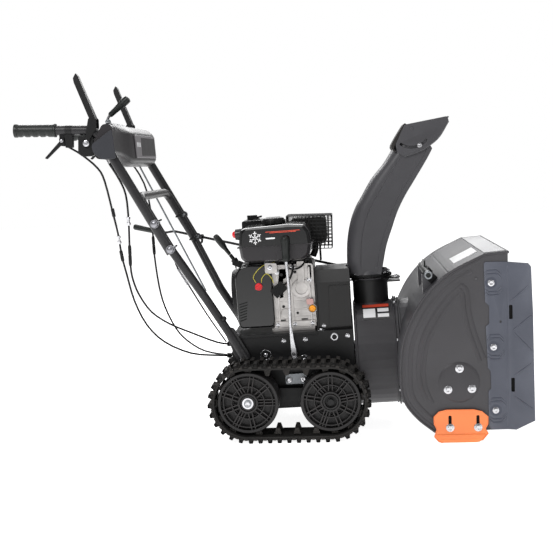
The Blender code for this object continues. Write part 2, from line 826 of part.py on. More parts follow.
def console():
    """The control panel between the handlebars, which pass through its sides."""
    front = [(-0.4104, 0.8318), (-0.3850, 0.8420), (-0.3920, 0.9380)]
    sides = [(-0.4880, 0.8940), (-0.4714, 0.8590), *front, (-0.4460, 0.9562)]
    middle = [(-0.5060, 0.9420), (-0.4760, 0.8600), *front, (-0.4640, 0.9720)]
    tube = pipe(bent(HANDLE_ROUTE, 0.060, 6), HANDLE_RADIUS + 0.0006, 12)
    other = mirrored(tube)
    body = union(prism(sides, -0.2872, 0.2872), prism(middle, -0.110, 0.110))
    slot = block((-0.5200, -0.4560), (-0.0070, 0.0070), (0.8860, 1.0))
    pin = rod(SPEED_PIVOT + Vector((0, -0.012, 0)), SPEED_PIVOT + Vector((0, 0.012, 0)), 0.0030)
    return union(less(body, tube, other, slot), pin)


def speed_lever():
    hub = disc(0.0085, -0.0035, 0.0035, SPEED_PIVOT, steps=20)
    stem = rod((-0.4725, 0.0, 0.9075), (-0.4807, 0.0, 0.9964), 0.0040, 10)
    start, end = Vector((-0.4840, 0.0, 0.9920)), Vector((-0.4221, 0.0, 1.0414))
    reach = (end - start).length
    profile = [(0.0, 0.0), (0.0085, 0.003), (0.0125, reach * 0.55), (0.0105, reach * 0.9), (0.0, reach)]
    knob = turned(profile, start, end - start, 20)
    return less(union(hub, stem, knob), disc(0.0034, -0.02, 0.02, SPEED_PIVOT, steps=16))


# Chute
CHUTE_BACK = [
    (0.2290, 0.4470),
    (0.2286, 0.4761),
    (0.2330, 0.5441),
    (0.2453, 0.6043),
    (0.2653, 0.6537),
    (0.2878, 0.6893),
    (0.3212, 0.7407),
    (0.3608, 0.7848),
    (0.3960, 0.8360),
    (0.4300, 0.8870),
]
CHUTE_FRONT = [
    (0.3330, 0.4470),
    (0.3407, 0.4845),
    (0.3538, 0.5371),
    (0.3740, 0.5900),
    (0.3929, 0.6375),
    (0.4180, 0.6830),
    (0.4474, 0.7262),
    (0.5011, 0.8076),
    (0.5023, 0.8304),
    (0.4585, 0.8915),
]
CHUTE_HALF_LOW = 0.056
CHUTE_HALF_HIGH = 0.064
CORNER = 0.040
CHUTE_RING_RADIUS = 0.066


def chute_skin(depth):
    """Rings of the chute's U section, from the front edge on one side, round the back, to the other side."""
    rings = []
    last = len(CHUTE_BACK) - 1
    for i, (back, front) in enumerate(zip(CHUTE_BACK, CHUTE_FRONT)):
        half = CHUTE_HALF_LOW + (CHUTE_HALF_HIGH - CHUTE_HALF_LOW) * min(1.0, i / (last - 2)) - depth
        start, end = Vector((back[0], 0, back[1])), Vector((front[0], 0, front[1]))
        run = (end - start).normalized()
        length = (end - start).length
        corner = min(CORNER, 0.8 * length) - depth
        side = [(length, half)]
        for k in range(5):
            angle = pi / 2 * k / 4
            side.append((depth + corner - corner * sin(angle), half - corner + corner * cos(angle)))
        ring = [start + run * d + Vector((0, -w, 0)) for d, w in side]
        ring += [start + run * d + Vector((0, w, 0)) for d, w in reversed(side)]
        rings.append(ring)
    return rings


def chute_channel():
    shape = bmesh.new()
    outer = [[shape.verts.new(p) for p in ring] for ring in chute_skin(0.0)]
    inner = [[shape.verts.new(p) for p in ring] for ring in chute_skin(0.002)]
    last = len(outer[0]) - 1
    for a, b in zip(outer, outer[1:]):
        for i in range(last):
            shape.faces.new((a[i], a[i + 1], b[i + 1], b[i]))
    for a, b in zip(inner, inner[1:]):
        for i in range(last):
            shape.faces.new((a[i], b[i], b[i + 1], a[i + 1]))
    for i in (0, last):
        for a, b, c, d in zip(outer, outer[1:], inner, inner[1:]):
            shape.faces.new((a[i], b[i], d[i], c[i]))
    for a, b in ((outer[0], inner[0]), (outer[-1], inner[-1])):
        for i in range(last):
            shape.faces.new((a[i], a[i + 1], b[i + 1], b[i]))
    bmesh.ops.recalc_face_normals(shape, faces=shape.faces)
    return shape


CHUTE_BOLT = Vector((0.4704, 0.0, 0.8319))
BOLT_RADIUS = 0.0032
BOLT_REACH = 0.0730
SLOT_WIDTH = 0.0078


def discharge_chute():
    channel = chute_channel()
    ring = disc(CHUTE_RING_RADIUS, 0.0010, 0.0110, CHUTE_AXIS, "Z", 32, bore=0.0505)
    pins = []
    for place in (DEFLECTOR_HINGE, CHUTE_BOLT):
        for side in (-1, 1):
            start = place + Vector((0, side * (CHUTE_HALF_HIGH - 0.0015), 0))
            pins.append(rod(start, place + Vector((0, side * BOLT_REACH, 0)), BOLT_RADIUS))
    return union(ring, channel, *pins)


def arc_slot(centre, radius, width, start, end, steps=8):
    """A slot that follows an arc, as a prism across the whole chute."""
    outline = []
    for size, order in ((radius - width / 2, range(steps + 1)), (radius + width / 2, range(steps, -1, -1))):
        for k in order:
            angle = radians(start + (end - start) * k / steps)
            outline.append((centre.x + size * cos(angle), centre.z + size * sin(angle)))
    return prism(outline, -0.1, 0.1)


def chute_deflector():
    outer = [
        (0.4330, 0.8975),
        (0.4522, 0.8990),
        (0.5585, 0.9123),
        (0.5619, 0.8958),
        (0.5326, 0.8542),
        (0.5054, 0.8317),
        (0.4701, 0.8131),
        (0.4220, 0.8008),
        (0.4032, 0.8146),
        (0.3980, 0.8379),
        (0.4278, 0.8960),
    ]
    # The top plate stays in front of the hinge, so that the cap can tip back over the chute
    hollow = [
        (0.3700, 0.9200),
        (0.4522, 0.9200),
        (0.4522, 0.8973),
        (0.5585, 0.9105),
        (0.5900, 0.9000),
        (0.5900, 0.7800),
        (0.3700, 0.7800),
    ]
    slot_radius = (CHUTE_BOLT - DEFLECTOR_HINGE).length
    return less(
        prism(outer, -0.0695, 0.0695),
        prism(hollow, -0.0670, 0.0670),
        arc_slot(DEFLECTOR_HINGE, slot_radius, SLOT_WIDTH, -130.0, -39.0),
        disc(0.0036, -0.1, 0.1, DEFLECTOR_HINGE, steps=16),
    )


EYELET = Vector((-0.262, 0.290, 0.578))
CRANK_AXIS = (WORM_CENTRE - EYELET).normalized()
WORM_END = WORM_CENTRE + CRANK_AXIS * 0.045


def chute_crank():
    """A cranked rod with a grip at the rear and a worm beside the chute's ring."""
    out = Vector((-0.3373, -0.9414, 0.0)).normalized()
    out = (out - CRANK_AXIS * out.dot(CRANK_AXIS)).normalized()
    elbow = EYELET - CRANK_AXIS * 0.110
    offset = elbow + out * 0.075
    path = bent([WORM_END, elbow, offset, offset - CRANK_AXIS * 0.110], 0.014, 4)
    worm = rod(WORM_CENTRE - CRANK_AXIS * 0.022, WORM_CENTRE + CRANK_AXIS * 0.022, 0.0120, 16)
    handle = rod(offset - CRANK_AXIS * 0.024, offset - CRANK_AXIS * 0.115, 0.0085, 14)
    return union(pipe(path, 0.0042, 10), worm, handle)


# Running gear
def tilt_lever():
    y = -0.168
    plate = [(0.0430, 0.2060), (0.0670, 0.2060), (0.0640, 0.2420), (0.0520, 0.3060), (0.0430, 0.3060)]
    blade = prism(rounded(plate, 0.003), y - 0.002, y + 0.002)
    bar = rod((0.0480, y, 0.290), (0.0495, y, 0.5250), 0.0042, 10)
    handle = pipe(bent([(0.0495, y, 0.5200), (0.0470, y, 0.5600), (0.0370, y, 0.5930)], 0.030), 0.0105, 14)
    return less(union(blade, bar, handle), disc(0.0046, -0.20, -0.15, (0.0550, 0.0, 0.2186), steps=16))


def tilt_pin():
    return rod((0.0550, -0.1480, 0.2186), (0.0550, -0.1730, 0.2186), 0.0042)


def drive_axle():
    return disc(0.0110, -0.2975, 0.2975, AXLE, steps=20)


def wheel(centre, bore):
    """A right-hand track wheel: rim, dished web and hub."""
    profile = [
        (bore, -0.288),
        (0.0240, -0.288),
        (0.0260, -0.282),
        (WHEEL_RADIUS, -0.282),
        (WHEEL_RADIUS, -0.206),
        (0.0820, -0.206),
        (0.0780, -0.272),
        (0.0240, -0.270),
        (0.0240, -0.200),
        (bore, -0.200),
    ]
    return turned(profile, centre, (0, 1, 0), 30)


def track_frame():
    """Two arms hung on the drive axle, a rear cross tube and the idler stub axles."""
    arm = rounded([(-0.168, 0.098), (0.176, 0.098), (0.176, 0.138), (-0.168, 0.138)], 0.012)
    arms = [prism(arm, s - 0.003, s + 0.003) for s in (-0.1785, 0.1785)]
    cross = disc(0.0100, -0.180, 0.180, (-0.152, 0.0, 0.118), steps=16)
    stubs = [rod((IDLER.x, s * 0.177, IDLER.z), (IDLER.x, s * 0.2975, IDLER.z), 0.0090, 16) for s in (-1, 1)]
    frame = less(union(arms[0], cross, arms[1], *stubs), disc(0.0125, -0.2, 0.2, AXLE, steps=20))
    return frame


LUG_COUNT = 40
LUG_HEIGHT = 0.011
BELT_THICKNESS = 0.009


def track_outline(radius, count, shift=0.0):
    """Points evenly spaced round the stadium that the track follows."""
    straight = IDLER.x - AXLE.x
    total = 2 * straight + 2 * pi * radius
    points = []
    for k in range(count):
        s = (k / count + shift) % 1.0 * total
        if s < straight:
            points.append((AXLE.x + s, AXLE.z - radius))
        elif s < straight + pi * radius:
            angle = -pi / 2 + (s - straight) / radius
            points.append((IDLER.x + radius * cos(angle), IDLER.z + radius * sin(angle)))
        elif s < 2 * straight + pi * radius:
            points.append((IDLER.x - (s - straight - pi * radius), IDLER.z + radius))
        else:
            angle = pi / 2 + (s - 2 * straight - pi * radius) / radius
            points.append((AXLE.x + radius * cos(angle), AXLE.z + radius * sin(angle)))
    return points


def track():
    """A rubber belt with a lug across it every 30 mm."""
    low = track_outline(TRACK_RADIUS - LUG_HEIGHT, 4 * LUG_COUNT)
    high = track_outline(TRACK_RADIUS, 4 * LUG_COUNT)
    tread = []
    for k in range(LUG_COUNT):
        tread += [low[4 * k], low[4 * k + 1], high[4 * k + 2], high[4 * k + 3]]
    inside = track_outline(TRACK_RADIUS - LUG_HEIGHT - BELT_THICKNESS, 2 * LUG_COUNT)
    return less(
        prism(tread, -TRACK_OUTER_Y, -TRACK_INNER_Y),
        prism(inside, -TRACK_OUTER_Y - 0.01, -TRACK_INNER_Y + 0.01),
    )


# Clean-out tool, cables and control rods


def clean_out_tool():
    """A long handle that lies across the housing in its clip, with a small shovel blade at its far end."""
    handle = rod(TOOL + Vector((0, -0.135, 0)), TOOL + Vector((0, 0.175, 0)), TOOL_RADIUS, 16)
    blade = block((TOOL.x - 0.003, TOOL.x + 0.003), (0.000, 0.085), (TOOL.z - 0.030, TOOL.z + 0.030))
    return union(handle, blade)


CABLE_RADIUS = 0.0030
STEER_CABLE = [
    (-0.5560, -0.262, 0.9000),
    (-0.5150, -0.262, 0.8720),
    (-0.4720, -0.262, 0.8300),
    (-0.4570, -0.253, 0.7900),
    (-0.4450, -0.238, 0.7000),
    (-0.4370, -0.228, 0.6360),
    (-0.4330, -0.218, 0.5660),
    (-0.4250, -0.209, 0.5100),
    (-0.4110, -0.198, 0.4290),
    (-0.3820, -0.186, 0.3530),
    (-0.3340, -0.175, 0.2960),
    (-0.2590, -0.162, 0.2550),
    (-0.1850, -0.140, 0.2400),
    (-0.1400, -0.120, 0.2330),
]
CLUTCH_CABLE = [
    (-0.4440, -0.222, 0.8380),
    (-0.4200, -0.222, 0.7920),
    (-0.4070, -0.214, 0.7480),
    (-0.4070, -0.203, 0.6790),
    (-0.4140, -0.189, 0.5930),
    (-0.4180, -0.179, 0.5290),
    (-0.4160, -0.169, 0.4890),
    (-0.4030, -0.160, 0.4420),
    (-0.3720, -0.150, 0.3870),
    (-0.3220, -0.140, 0.3460),
    (-0.2590, -0.130, 0.3130),
    (-0.1830, -0.115, 0.2760),
    (-0.1400, -0.105, 0.2660),
]
LEFT_CABLE = [
    (-0.5560, 0.262, 0.9000),
    (-0.5150, 0.262, 0.8720),
    (-0.4680, 0.260, 0.8300),
    (-0.4280, 0.241, 0.7380),
    (-0.4160, 0.211, 0.5940),
    (-0.4140, 0.197, 0.5300),
    (-0.4030, 0.176, 0.4310),
    (-0.3860, 0.161, 0.3610),
    (-0.3520, 0.144, 0.2890),
    (-0.3130, 0.131, 0.2460),
    (-0.2570, 0.118, 0.2120),
    (-0.1850, 0.100, 0.1990),
    (-0.1410, 0.092, 0.1980),
]


def cable(name, route, spacing=0.024):
    curve = bpy.data.curves.new(name, "CURVE")
    curve.dimensions = "3D"
    curve.bevel_depth = CABLE_RADIUS
    curve.bevel_resolution = 2
    curve.use_fill_caps = True
    path = smooth_path(route, spacing)
    spline = curve.splines.new("POLY")
    spline.points.add(len(path) - 1)
    for point, place in zip(spline.points, path):
        point.co = (*place, 1.0)
    made = bpy.data.objects.new(name, curve)
    bpy.context.collection.objects.link(made)
    made.data.materials.append(PLASTIC)
    made.parent = machine


# Assembly
node("chassis_frame", union(chassis(), tilt_pin()), BLACK)
node("belt_cover", belt_cover(), BLACK)
node("impeller_housing", impeller_housing(), CHARCOAL)
node("auger_housing", auger_housing(), CHARCOAL)
pair("side_plate", cheek(), CHARCOAL)
node("scraper_bar", scraper_bar(), STEEL)
pair("skid_shoe", skid_shoe(), ORANGE, level=True)
pair("extension_plate", extension_plate(), SLATE)
node("auger_gearbox", gearbox(), IRON)
node("auger_shaft", auger_shaft(), STEEL, AUGER_AXIS)
pair("auger", auger(), BLACK, AUGER_AXIS)
node("impeller", impeller(), BLACK, IMPELLER_AXIS)
node("impeller_shaft", impeller_shaft(), STEEL, IMPELLER_AXIS)
node("impeller_pulley", grooved(IMPELLER_AXIS, IMPELLER_PULLEY_RADIUS, 0.0098), IRON, IMPELLER_AXIS)
engine_pulley = union(
    grooved(CRANKSHAFT, ENGINE_PULLEY_RADIUS, 0.008),
    disc(0.0095, 0.1263, 0.205, CRANKSHAFT, "X", 20),
)
node("engine_pulley", engine_pulley, IRON, CRANKSHAFT)
node("drive_belt", drive_belt(), RUBBER)
node("crankcase", crankcase(), ALUMINIUM)
node("blower_housing", blower_housing(), PLASTIC)
node("recoil_cover", recoil_cover(), PLASTIC)
node("starter_handle", starter_handle(), PLASTIC, PULL_FROM)
node("fuel_tank", fuel_tank(), BLACK)
node("fuel_cap", fuel_cap(), PLASTIC, (0.0125, -0.060, 0.6268))
oil_cap_seat = Vector((0.1162, -0.1219, 0.3635))
oil_cap = rod(oil_cap_seat, oil_cap_seat + Vector((0.0014, -0.0100, 0.0008)), 0.0100, 16)
node("oil_cap", oil_cap, YELLOW, oil_cap_seat)
IGNITION = Vector((-0.0422, -0.1153, 0.4392))
node("ignition_knob", rod(IGNITION, IGNITION + Vector((0, -0.012, 0)), 0.0110, 20), RED, IGNITION)
node("primer_bulb", primer_bulb(), RED, (-0.1035, -0.075, 0.6000))
node("intake_cover", intake_cover(), PLASTIC)
node("muffler", muffler(), IRON)
node("muffler_guard", muffler_guard(), BLACK)
node("lower_handlebar", lower_handlebar(), BLACK)
pair("upper_handlebar", upper_handlebar(), BLACK)
pair("grip", grip(), RUBBER)
pair("clutch_lever", clutch_lever(), PLASTIC, CLUTCH_PIVOT)
pair("steering_lever", steering_lever(), PLASTIC, STEER_PIVOT)
node("control_console", console(), PLASTIC)
node("speed_lever", speed_lever(), PLASTIC, SPEED_PIVOT)
node("discharge_chute", discharge_chute(), CHARCOAL, CHUTE_AXIS)
node("chute_deflector", chute_deflector(), CHARCOAL, DEFLECTOR_HINGE)
node("chute_crank", chute_crank(), BLACK, EYELET)
node("tilt_lever", tilt_lever(), STEEL, (0.0550, -0.168, 0.2186))
node("drive_axle", drive_axle(), STEEL, AXLE)
pair("drive_wheel", wheel(AXLE, 0.0114), RUBBER, AXLE, level=True)
pair("idler_wheel", wheel(IDLER, 0.0095), RUBBER, IDLER, level=True)
node("track_frame", track_frame(), IRON, AXLE, level=True)
pair("track", track(), RUBBER, level=True)
node("clean_out_tool", clean_out_tool(), PLASTIC, TOOL)
cable("right_steering_cable", STEER_CABLE)
cable("left_steering_cable", LEFT_CABLE)
cable("clutch_cable", CLUTCH_CABLE)
shift = rod((-0.4300, 0.150, 0.8320), (-0.2360, 0.100, 0.4120), 0.0030, 8)
node("shift_rod", shift, STEEL)
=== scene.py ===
from math import cos, hypot, pi, radians, sin

import bmesh
import bpy
from mathutils import Matrix, Vector


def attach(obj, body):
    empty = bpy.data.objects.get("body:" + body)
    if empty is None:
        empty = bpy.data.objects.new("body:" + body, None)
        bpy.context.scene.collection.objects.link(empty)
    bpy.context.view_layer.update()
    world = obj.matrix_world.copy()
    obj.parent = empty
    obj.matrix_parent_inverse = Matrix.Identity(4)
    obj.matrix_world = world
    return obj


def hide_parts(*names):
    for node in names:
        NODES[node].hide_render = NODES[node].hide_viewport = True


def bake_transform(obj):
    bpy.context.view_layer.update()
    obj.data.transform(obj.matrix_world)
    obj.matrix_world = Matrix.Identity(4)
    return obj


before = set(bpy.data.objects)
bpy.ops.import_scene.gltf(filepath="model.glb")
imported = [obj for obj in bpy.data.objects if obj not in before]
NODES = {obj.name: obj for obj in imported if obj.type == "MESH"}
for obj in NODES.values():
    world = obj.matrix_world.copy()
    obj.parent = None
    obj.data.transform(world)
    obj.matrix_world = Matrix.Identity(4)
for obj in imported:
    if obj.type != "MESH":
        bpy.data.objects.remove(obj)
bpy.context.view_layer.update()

PITCH = radians(2.0)
AXLE = Vector((-0.0835, 0.0, 0.118))
IDLER = Vector((0.1585, 0.0, 0.118))
MACHINE = Matrix.Translation(AXLE) @ Matrix.Rotation(-PITCH, 4, "Y") @ Matrix.Translation(-AXLE)
IMPELLER = Vector((0.0, 0.0, 0.1996))
AUGER = Vector((0.5275, 0.0, 0.1527))
CHUTE = Vector((0.297, 0.0, 0.437))
HINGE = Vector((0.449, 0.0, 0.884))
CHUTE_BOLT = Vector((0.4704, 0.0, 0.8319))
HANDLE_Y = 0.2655
LEG_Y = 0.237
PLATE_Y = 0.32


# Camera, lights and floor
def basis():
    yaw, tilt, roll = 0.071054077, 0.103761739, -0.0364244194
    ahead = Vector((-sin(yaw), cos(yaw), 0.0))
    right, up = Vector((cos(yaw), sin(yaw), 0.0)), Vector((0.0, 0.0, 1.0))
    look_at = ahead * cos(tilt) - up * sin(tilt)
    lifted = up * cos(tilt) + ahead * sin(tilt)
    across = right * cos(roll) + lifted * sin(roll)
    return across, lifted * cos(roll) - right * sin(roll), -look_at


camera = bpy.data.objects.new("camera", bpy.data.cameras.new("camera"))
bpy.context.collection.objects.link(camera)
columns = basis()
camera.matrix_world = Matrix.Translation((0.2315, -3.3474377,
    0.8075325)) @ Matrix(columns).transposed().to_4x4()
camera.data.sensor_width = 36.0
camera.data.lens = 69.73
camera.data.clip_end = 60.0
bpy.context.scene.camera = camera


def area(name, place, target, size, power):
    light = bpy.data.objects.new(name, bpy.data.lights.new(name, "AREA"))
    light.data.shape = "RECTANGLE"
    light.data.size, light.data.size_y = size
    light.data.energy = power
    light.location = place
    light.rotation_euler = (Vector(target) - Vector(place)).to_track_quat("-Z", "Y").to_euler()
    bpy.context.collection.objects.link(light)


area("key", (-1.5, -2.6, 2.9), (0, 0, 0.5), (1.3, 0.9), 66.0)
area("side", (2.6, -2.4, 1.5), (0.2, 0, 0.45), (0.9, 2.0), 14.0)
area("top", (0.1, 0.5, 3.2), (0, 0, 0.3), (2.8, 1.6), 36.0)
area("rim", (-0.6, 2.6, 2.2), (0, 0, 0.5), (2.6, 1.2), 55.0)
world = bpy.data.worlds.new("studio")
world.use_nodes = True
studio = world.node_tree
soft = studio.nodes["Background"]
soft.inputs["Color"].default_value, soft.inputs["Strength"].default_value = (1.0, 1.0, 1.0, 1.0), 0.28
white = studio.nodes.new("ShaderNodeBackground")
white.inputs["Color"].default_value, white.inputs["Strength"].default_value = (1.0, 1.0, 1.0, 1.0), 1.0
seen = studio.nodes.new("ShaderNodeLightPath")
either = studio.nodes.new("ShaderNodeMixShader")
studio.links.new(seen.outputs["Is Camera Ray"], either.inputs[0])
studio.links.new(soft.outputs["Background"], either.inputs[1])
studio.links.new(white.outputs["Background"], either.inputs[2])
studio.links.new(either.outputs["Shader"], studio.nodes["World Output"].inputs["Surface"])
bpy.context.scene.world = world
bpy.context.scene.view_settings.view_transform = "Standard"


# Materials
def link(tree, output, socket):
    tree.links.new(output, socket)


def look(name, colour, rough, metal=0.0, vary=0.25, grain=320.0, bump=0.12, wear_and_highlight=None, coat=0.0,
    specular=0.5, blotch=9.0):
    """A painted, cast or moulded surface: blotchy colour and roughness, fine grain, and edges in their own
    colour: worn paint, and on the slate plates a painted highlight.
    """
    made = bpy.data.materials.new(name)
    made.use_nodes = True
    tree = made.node_tree
    shader = tree.nodes["Principled BSDF"]
    shader.inputs["Metallic"].default_value = metal
    shader.inputs["Coat Weight"].default_value = coat
    shader.inputs["Coat Roughness"].default_value = 0.12
    shader.inputs["Specular IOR Level"].default_value = specular
    place = tree.nodes.new("ShaderNodeTexCoord")
    wide = tree.nodes.new("ShaderNodeTexNoise")
    wide.inputs["Scale"].default_value = blotch
    wide.inputs["Detail"].default_value = 6.0
    fine = tree.nodes.new("ShaderNodeTexNoise")
    fine.inputs["Scale"].default_value = grain
    fine.inputs["Detail"].default_value = 3.0
    link(tree, place.outputs["Object"], wide.inputs["Vector"])
    link(tree, place.outputs["Object"], fine.inputs["Vector"])
    ramp = tree.nodes.new("ShaderNodeValToRGB")
    dark = [c * (1.0 - vary) for c in colour]
    light = [min(1.0, c * (1.0 + vary)) for c in colour]
    ramp.color_ramp.elements[0].position, ramp.color_ramp.elements[0].color = 0.3, (*dark, 1.0)
    ramp.color_ramp.elements[1].position, ramp.color_ramp.elements[1].color = 0.7, (*light, 1.0)
    link(tree, wide.outputs["Fac"], ramp.inputs["Fac"])
    result = ramp.outputs["Color"]
    # Convex edges take the edge colour: worn paint, and on the slate plates a painted highlight.
    if wear_and_highlight:
        edge = tree.nodes.new("ShaderNodeNewGeometry")
        sharp = tree.nodes.new("ShaderNodeMapRange")
        sharp.inputs["From Min"].default_value, sharp.inputs["From Max"].default_value = 0.53, 0.62
        link(tree, edge.outputs["Pointiness"], sharp.inputs["Value"])
        broken = tree.nodes.new("ShaderNodeMath")
        broken.operation = "MULTIPLY"
        link(tree, sharp.outputs["Result"], broken.inputs[0])
        link(tree, wide.outputs["Fac"], broken.inputs[1])
        mix = tree.nodes.new("ShaderNodeMix")
        mix.data_type = "RGBA"
        link(tree, broken.outputs["Value"], mix.inputs["Factor"])
        link(tree, result, mix.inputs["A"])
        mix.inputs["B"].default_value = (*wear_and_highlight, 1.0)
        result = mix.outputs["Result"]
    link(tree, result, shader.inputs["Base Color"])
    spread = tree.nodes.new("ShaderNodeMapRange")
    spread.inputs["To Min"].default_value = max(0.03, rough - 0.09)
    spread.inputs["To Max"].default_value = min(1.0, rough + 0.11)
    link(tree, wide.outputs["Fac"], spread.inputs["Value"])
    link(tree, spread.outputs["Result"], shader.inputs["Roughness"])
    raised = tree.nodes.new("ShaderNodeBump")
    raised.inputs["Strength"].default_value = bump
    raised.inputs["Distance"].default_value = 0.0006
    link(tree, fine.outputs["Fac"], raised.inputs["Height"])
    link(tree, raised.outputs["Normal"], shader.inputs["Normal"])
    return made


CHARCOAL = look("charcoal_paint", (0.046, 0.044, 0.048), 0.44, vary=0.08, grain=520, bump=0.2,
    wear_and_highlight=(0.1, 0.1, 0.105), specular=0.32)
CHUTE_PAINT = look("chute_paint", (0.052, 0.051, 0.056), 0.4, vary=0.08, grain=520, bump=0.15,
    wear_and_highlight=(0.12, 0.12, 0.13), specular=0.35)
FRAME_BLACK = look("black_paint", (0.0055, 0.0055, 0.006), 0.36, vary=0.2, grain=480, bump=0.18,
    wear_and_highlight=(0.03, 0.03, 0.03), specular=0.25)
TUBE_GREY = look("tube_paint", (0.017, 0.0165, 0.018), 0.36, vary=0.12, grain=500, bump=0.15,
    wear_and_highlight=(0.06, 0.06, 0.06), specular=0.3)
MOULDED = look("moulded_black", (0.006, 0.006, 0.0064), 0.44, vary=0.15, grain=700, bump=0.35,
    specular=0.25)
COVER = look("belt_cover_plastic", (0.0085, 0.008, 0.008), 0.3, vary=0.12, grain=600, bump=0.12,
    specular=0.35)
GLOSS = look("gloss_black", (0.0035, 0.0035, 0.0038), 0.14, vary=0.2, grain=200, bump=0.02, coat=0.35,
    specular=0.35)
TANK_LOW = look("tank_lower", (0.026, 0.024, 0.026), 0.26, vary=0.08, grain=400, bump=0.06, specular=0.35)
DARK_GREY = look("console_grey", (0.019, 0.017, 0.019), 0.38, vary=0.08, grain=650, bump=0.25,
    specular=0.35)
PANEL_SIDE = look("console_side", (0.03, 0.031, 0.037), 0.4, vary=0.08, grain=650, bump=0.25,
    specular=0.35)
PANEL_FACE = look("console_face", (0.17, 0.16, 0.17), 0.38, vary=0.06, grain=500, bump=0.08)
# The slate paint's light edge colour is partly wear and partly a painted highlight on the pressed ridges.
SLATE = look("slate_paint", (0.054, 0.059, 0.08), 0.36, vary=0.1, grain=520, bump=0.15,
    wear_and_highlight=(0.16, 0.17, 0.2), specular=0.35)
ORANGE = look("shoe_orange", (0.86, 0.215, 0.06), 0.42, vary=0.1, grain=500, bump=0.18,
    wear_and_highlight=(0.95, 0.4, 0.12))
RED = look("red_plastic", (0.7, 0.012, 0.02), 0.3, vary=0.12, grain=400, bump=0.05)
YELLOW = look("cap_yellow", (0.95, 0.36, 0.02), 0.35, vary=0.12, grain=400, bump=0.05)
RUBBER = look("track_rubber", (0.0095, 0.0088, 0.0085), 0.7, vary=0.35, grain=420, bump=0.6,
    wear_and_highlight=(0.045, 0.04, 0.036), specular=0.3)
WHEEL = look("wheel_plastic", (0.0095, 0.0088, 0.009), 0.46, vary=0.25, grain=500, bump=0.3,
    wear_and_highlight=(0.05, 0.045, 0.045), specular=0.35)
GRIP = look("grip_rubber", (0.0085, 0.0105, 0.0095), 0.4, vary=0.15, grain=600, bump=0.4, specular=0.35)
ZINC = look("zinc_steel", (0.55, 0.55, 0.57), 0.24, 1.0, vary=0.2, grain=260, bump=0.08, blotch=120,
    wear_and_highlight=(0.75, 0.75, 0.77))
HEAD = look("bolt_head_steel", (0.28, 0.28, 0.3), 0.34, 1.0, vary=0.25, grain=260, bump=0.1, blotch=160,
    wear_and_highlight=(0.62, 0.62, 0.64))
GALVANISED = look("galvanised", (0.26, 0.275, 0.29), 0.42, 0.85, vary=0.25, grain=120, bump=0.15,
    blotch=90)
CHROME = look("chrome", (0.72, 0.72, 0.74), 0.1, 1.0, vary=0.05, grain=100, bump=0.01)
ALLOY = look("cast_alloy", (0.52, 0.5, 0.485), 0.4, 0.8, vary=0.22, grain=260, bump=0.45, blotch=30)
IRON = look("dark_iron", (0.014, 0.0135, 0.013), 0.52, 0.3, vary=0.35, grain=240, bump=0.5)
DARK = look("shadow_black", (0.003, 0.003, 0.003), 0.7, vary=0.2, specular=0.2)
WHITE = look("label_white", (0.86, 0.86, 0.87), 0.35, vary=0.03, grain=200, bump=0.02)
LABEL = look("label_black", (0.008, 0.008, 0.009), 0.3, vary=0.05, grain=200, bump=0.02)
LABEL_RED = look("label_red", (0.72, 0.08, 0.04), 0.35, vary=0.05, grain=200, bump=0.02)
WIRE = look("wire_yellow", (0.5, 0.43, 0.05), 0.4, vary=0.12)
PINK = look("oiled_plastic", (0.5, 0.3, 0.28), 0.35, vary=0.15)
BELT = look("belt_rubber", (0.01, 0.01, 0.01), 0.8, vary=0.2)


# Shape helpers: each returns a bmesh
def prism(outline, low, high, axis="Y"):
    shape = bmesh.new()
    place = {"X": lambda a, b, h: (h, a, b), "Y": lambda a, b, h: (a, h, b), "Z": lambda a, b,
        h: (a, b, h)}[axis]
    rings = [[shape.verts.new(place(a, b, h)) for a, b in outline] for h in (low, high)]
    count = len(outline)
    shape.faces.new(rings[0])
    shape.faces.new(list(reversed(rings[1])))
    for i in range(count):
        j = (i + 1) % count
        shape.faces.new((rings[0][i], rings[1][i], rings[1][j], rings[0][j]))
    bmesh.ops.recalc_face_normals(shape, faces=shape.faces)
    return shape


def block(x, y, z):
    return prism([(x[0], z[0]), (x[1], z[0]), (x[1], z[1]), (x[0], z[1])], *y)


def turned(profile, centre, axis, steps=40, closed=True):
    """A profile of (radius, height) points turned about an axis through the centre."""
    direction = Vector(axis).normalized()
    side = direction.orthogonal().normalized()
    other = direction.cross(side)
    shape = bmesh.new()
    rings = []
    for radius, height in profile:
        base = Vector(centre) + direction * height
        if radius == 0.0:
            rings.append([shape.verts.new(base)] * steps)
            continue
        angles = [2 * pi * k / steps for k in range(steps)]
        rings.append([shape.verts.new(base + (side * cos(a) + other * sin(a)) * radius) for a in angles])
    for i in range(len(rings) if closed else len(rings) - 1):
        lower, upper = rings[i], rings[(i + 1) % len(rings)]
        for k in range(steps):
            m = (k + 1) % steps
            corners = []
            for corner in (lower[k], lower[m], upper[m], upper[k]):
                if corner not in corners:
                    corners.append(corner)
            if len(corners) > 2:
                shape.faces.new(corners)
    bmesh.ops.recalc_face_normals(shape, faces=shape.faces)
    return shape


def disc(radius, low, high, centre, axis="Y", steps=40, bore=0.0):
    vector = {"X": (1, 0, 0), "Y": (0, 1, 0), "Z": (0, 0, 1)}[axis]
    return turned([(bore, low), (radius, low), (radius, high), (bore, high)], centre, vector, steps)


def smooth_path(points, per=8):
    route = [Vector(p) for p in points]
    ends = [2 * route[0] - route[1], *route, 2 * route[-1] - route[-2]]
    path = []
    for a, b, c, d in zip(ends, ends[1:], ends[2:], ends[3:]):
        for k in range(per):
            t = k / per
            path.append(0.5 * (
                2 * b + (c - a) * t + (2 * a - 5 * b + 4 * c - d) * t**2 + (
                3 * b - a - 3 * c + d) * t**3))
    return [*path, route[-1]]


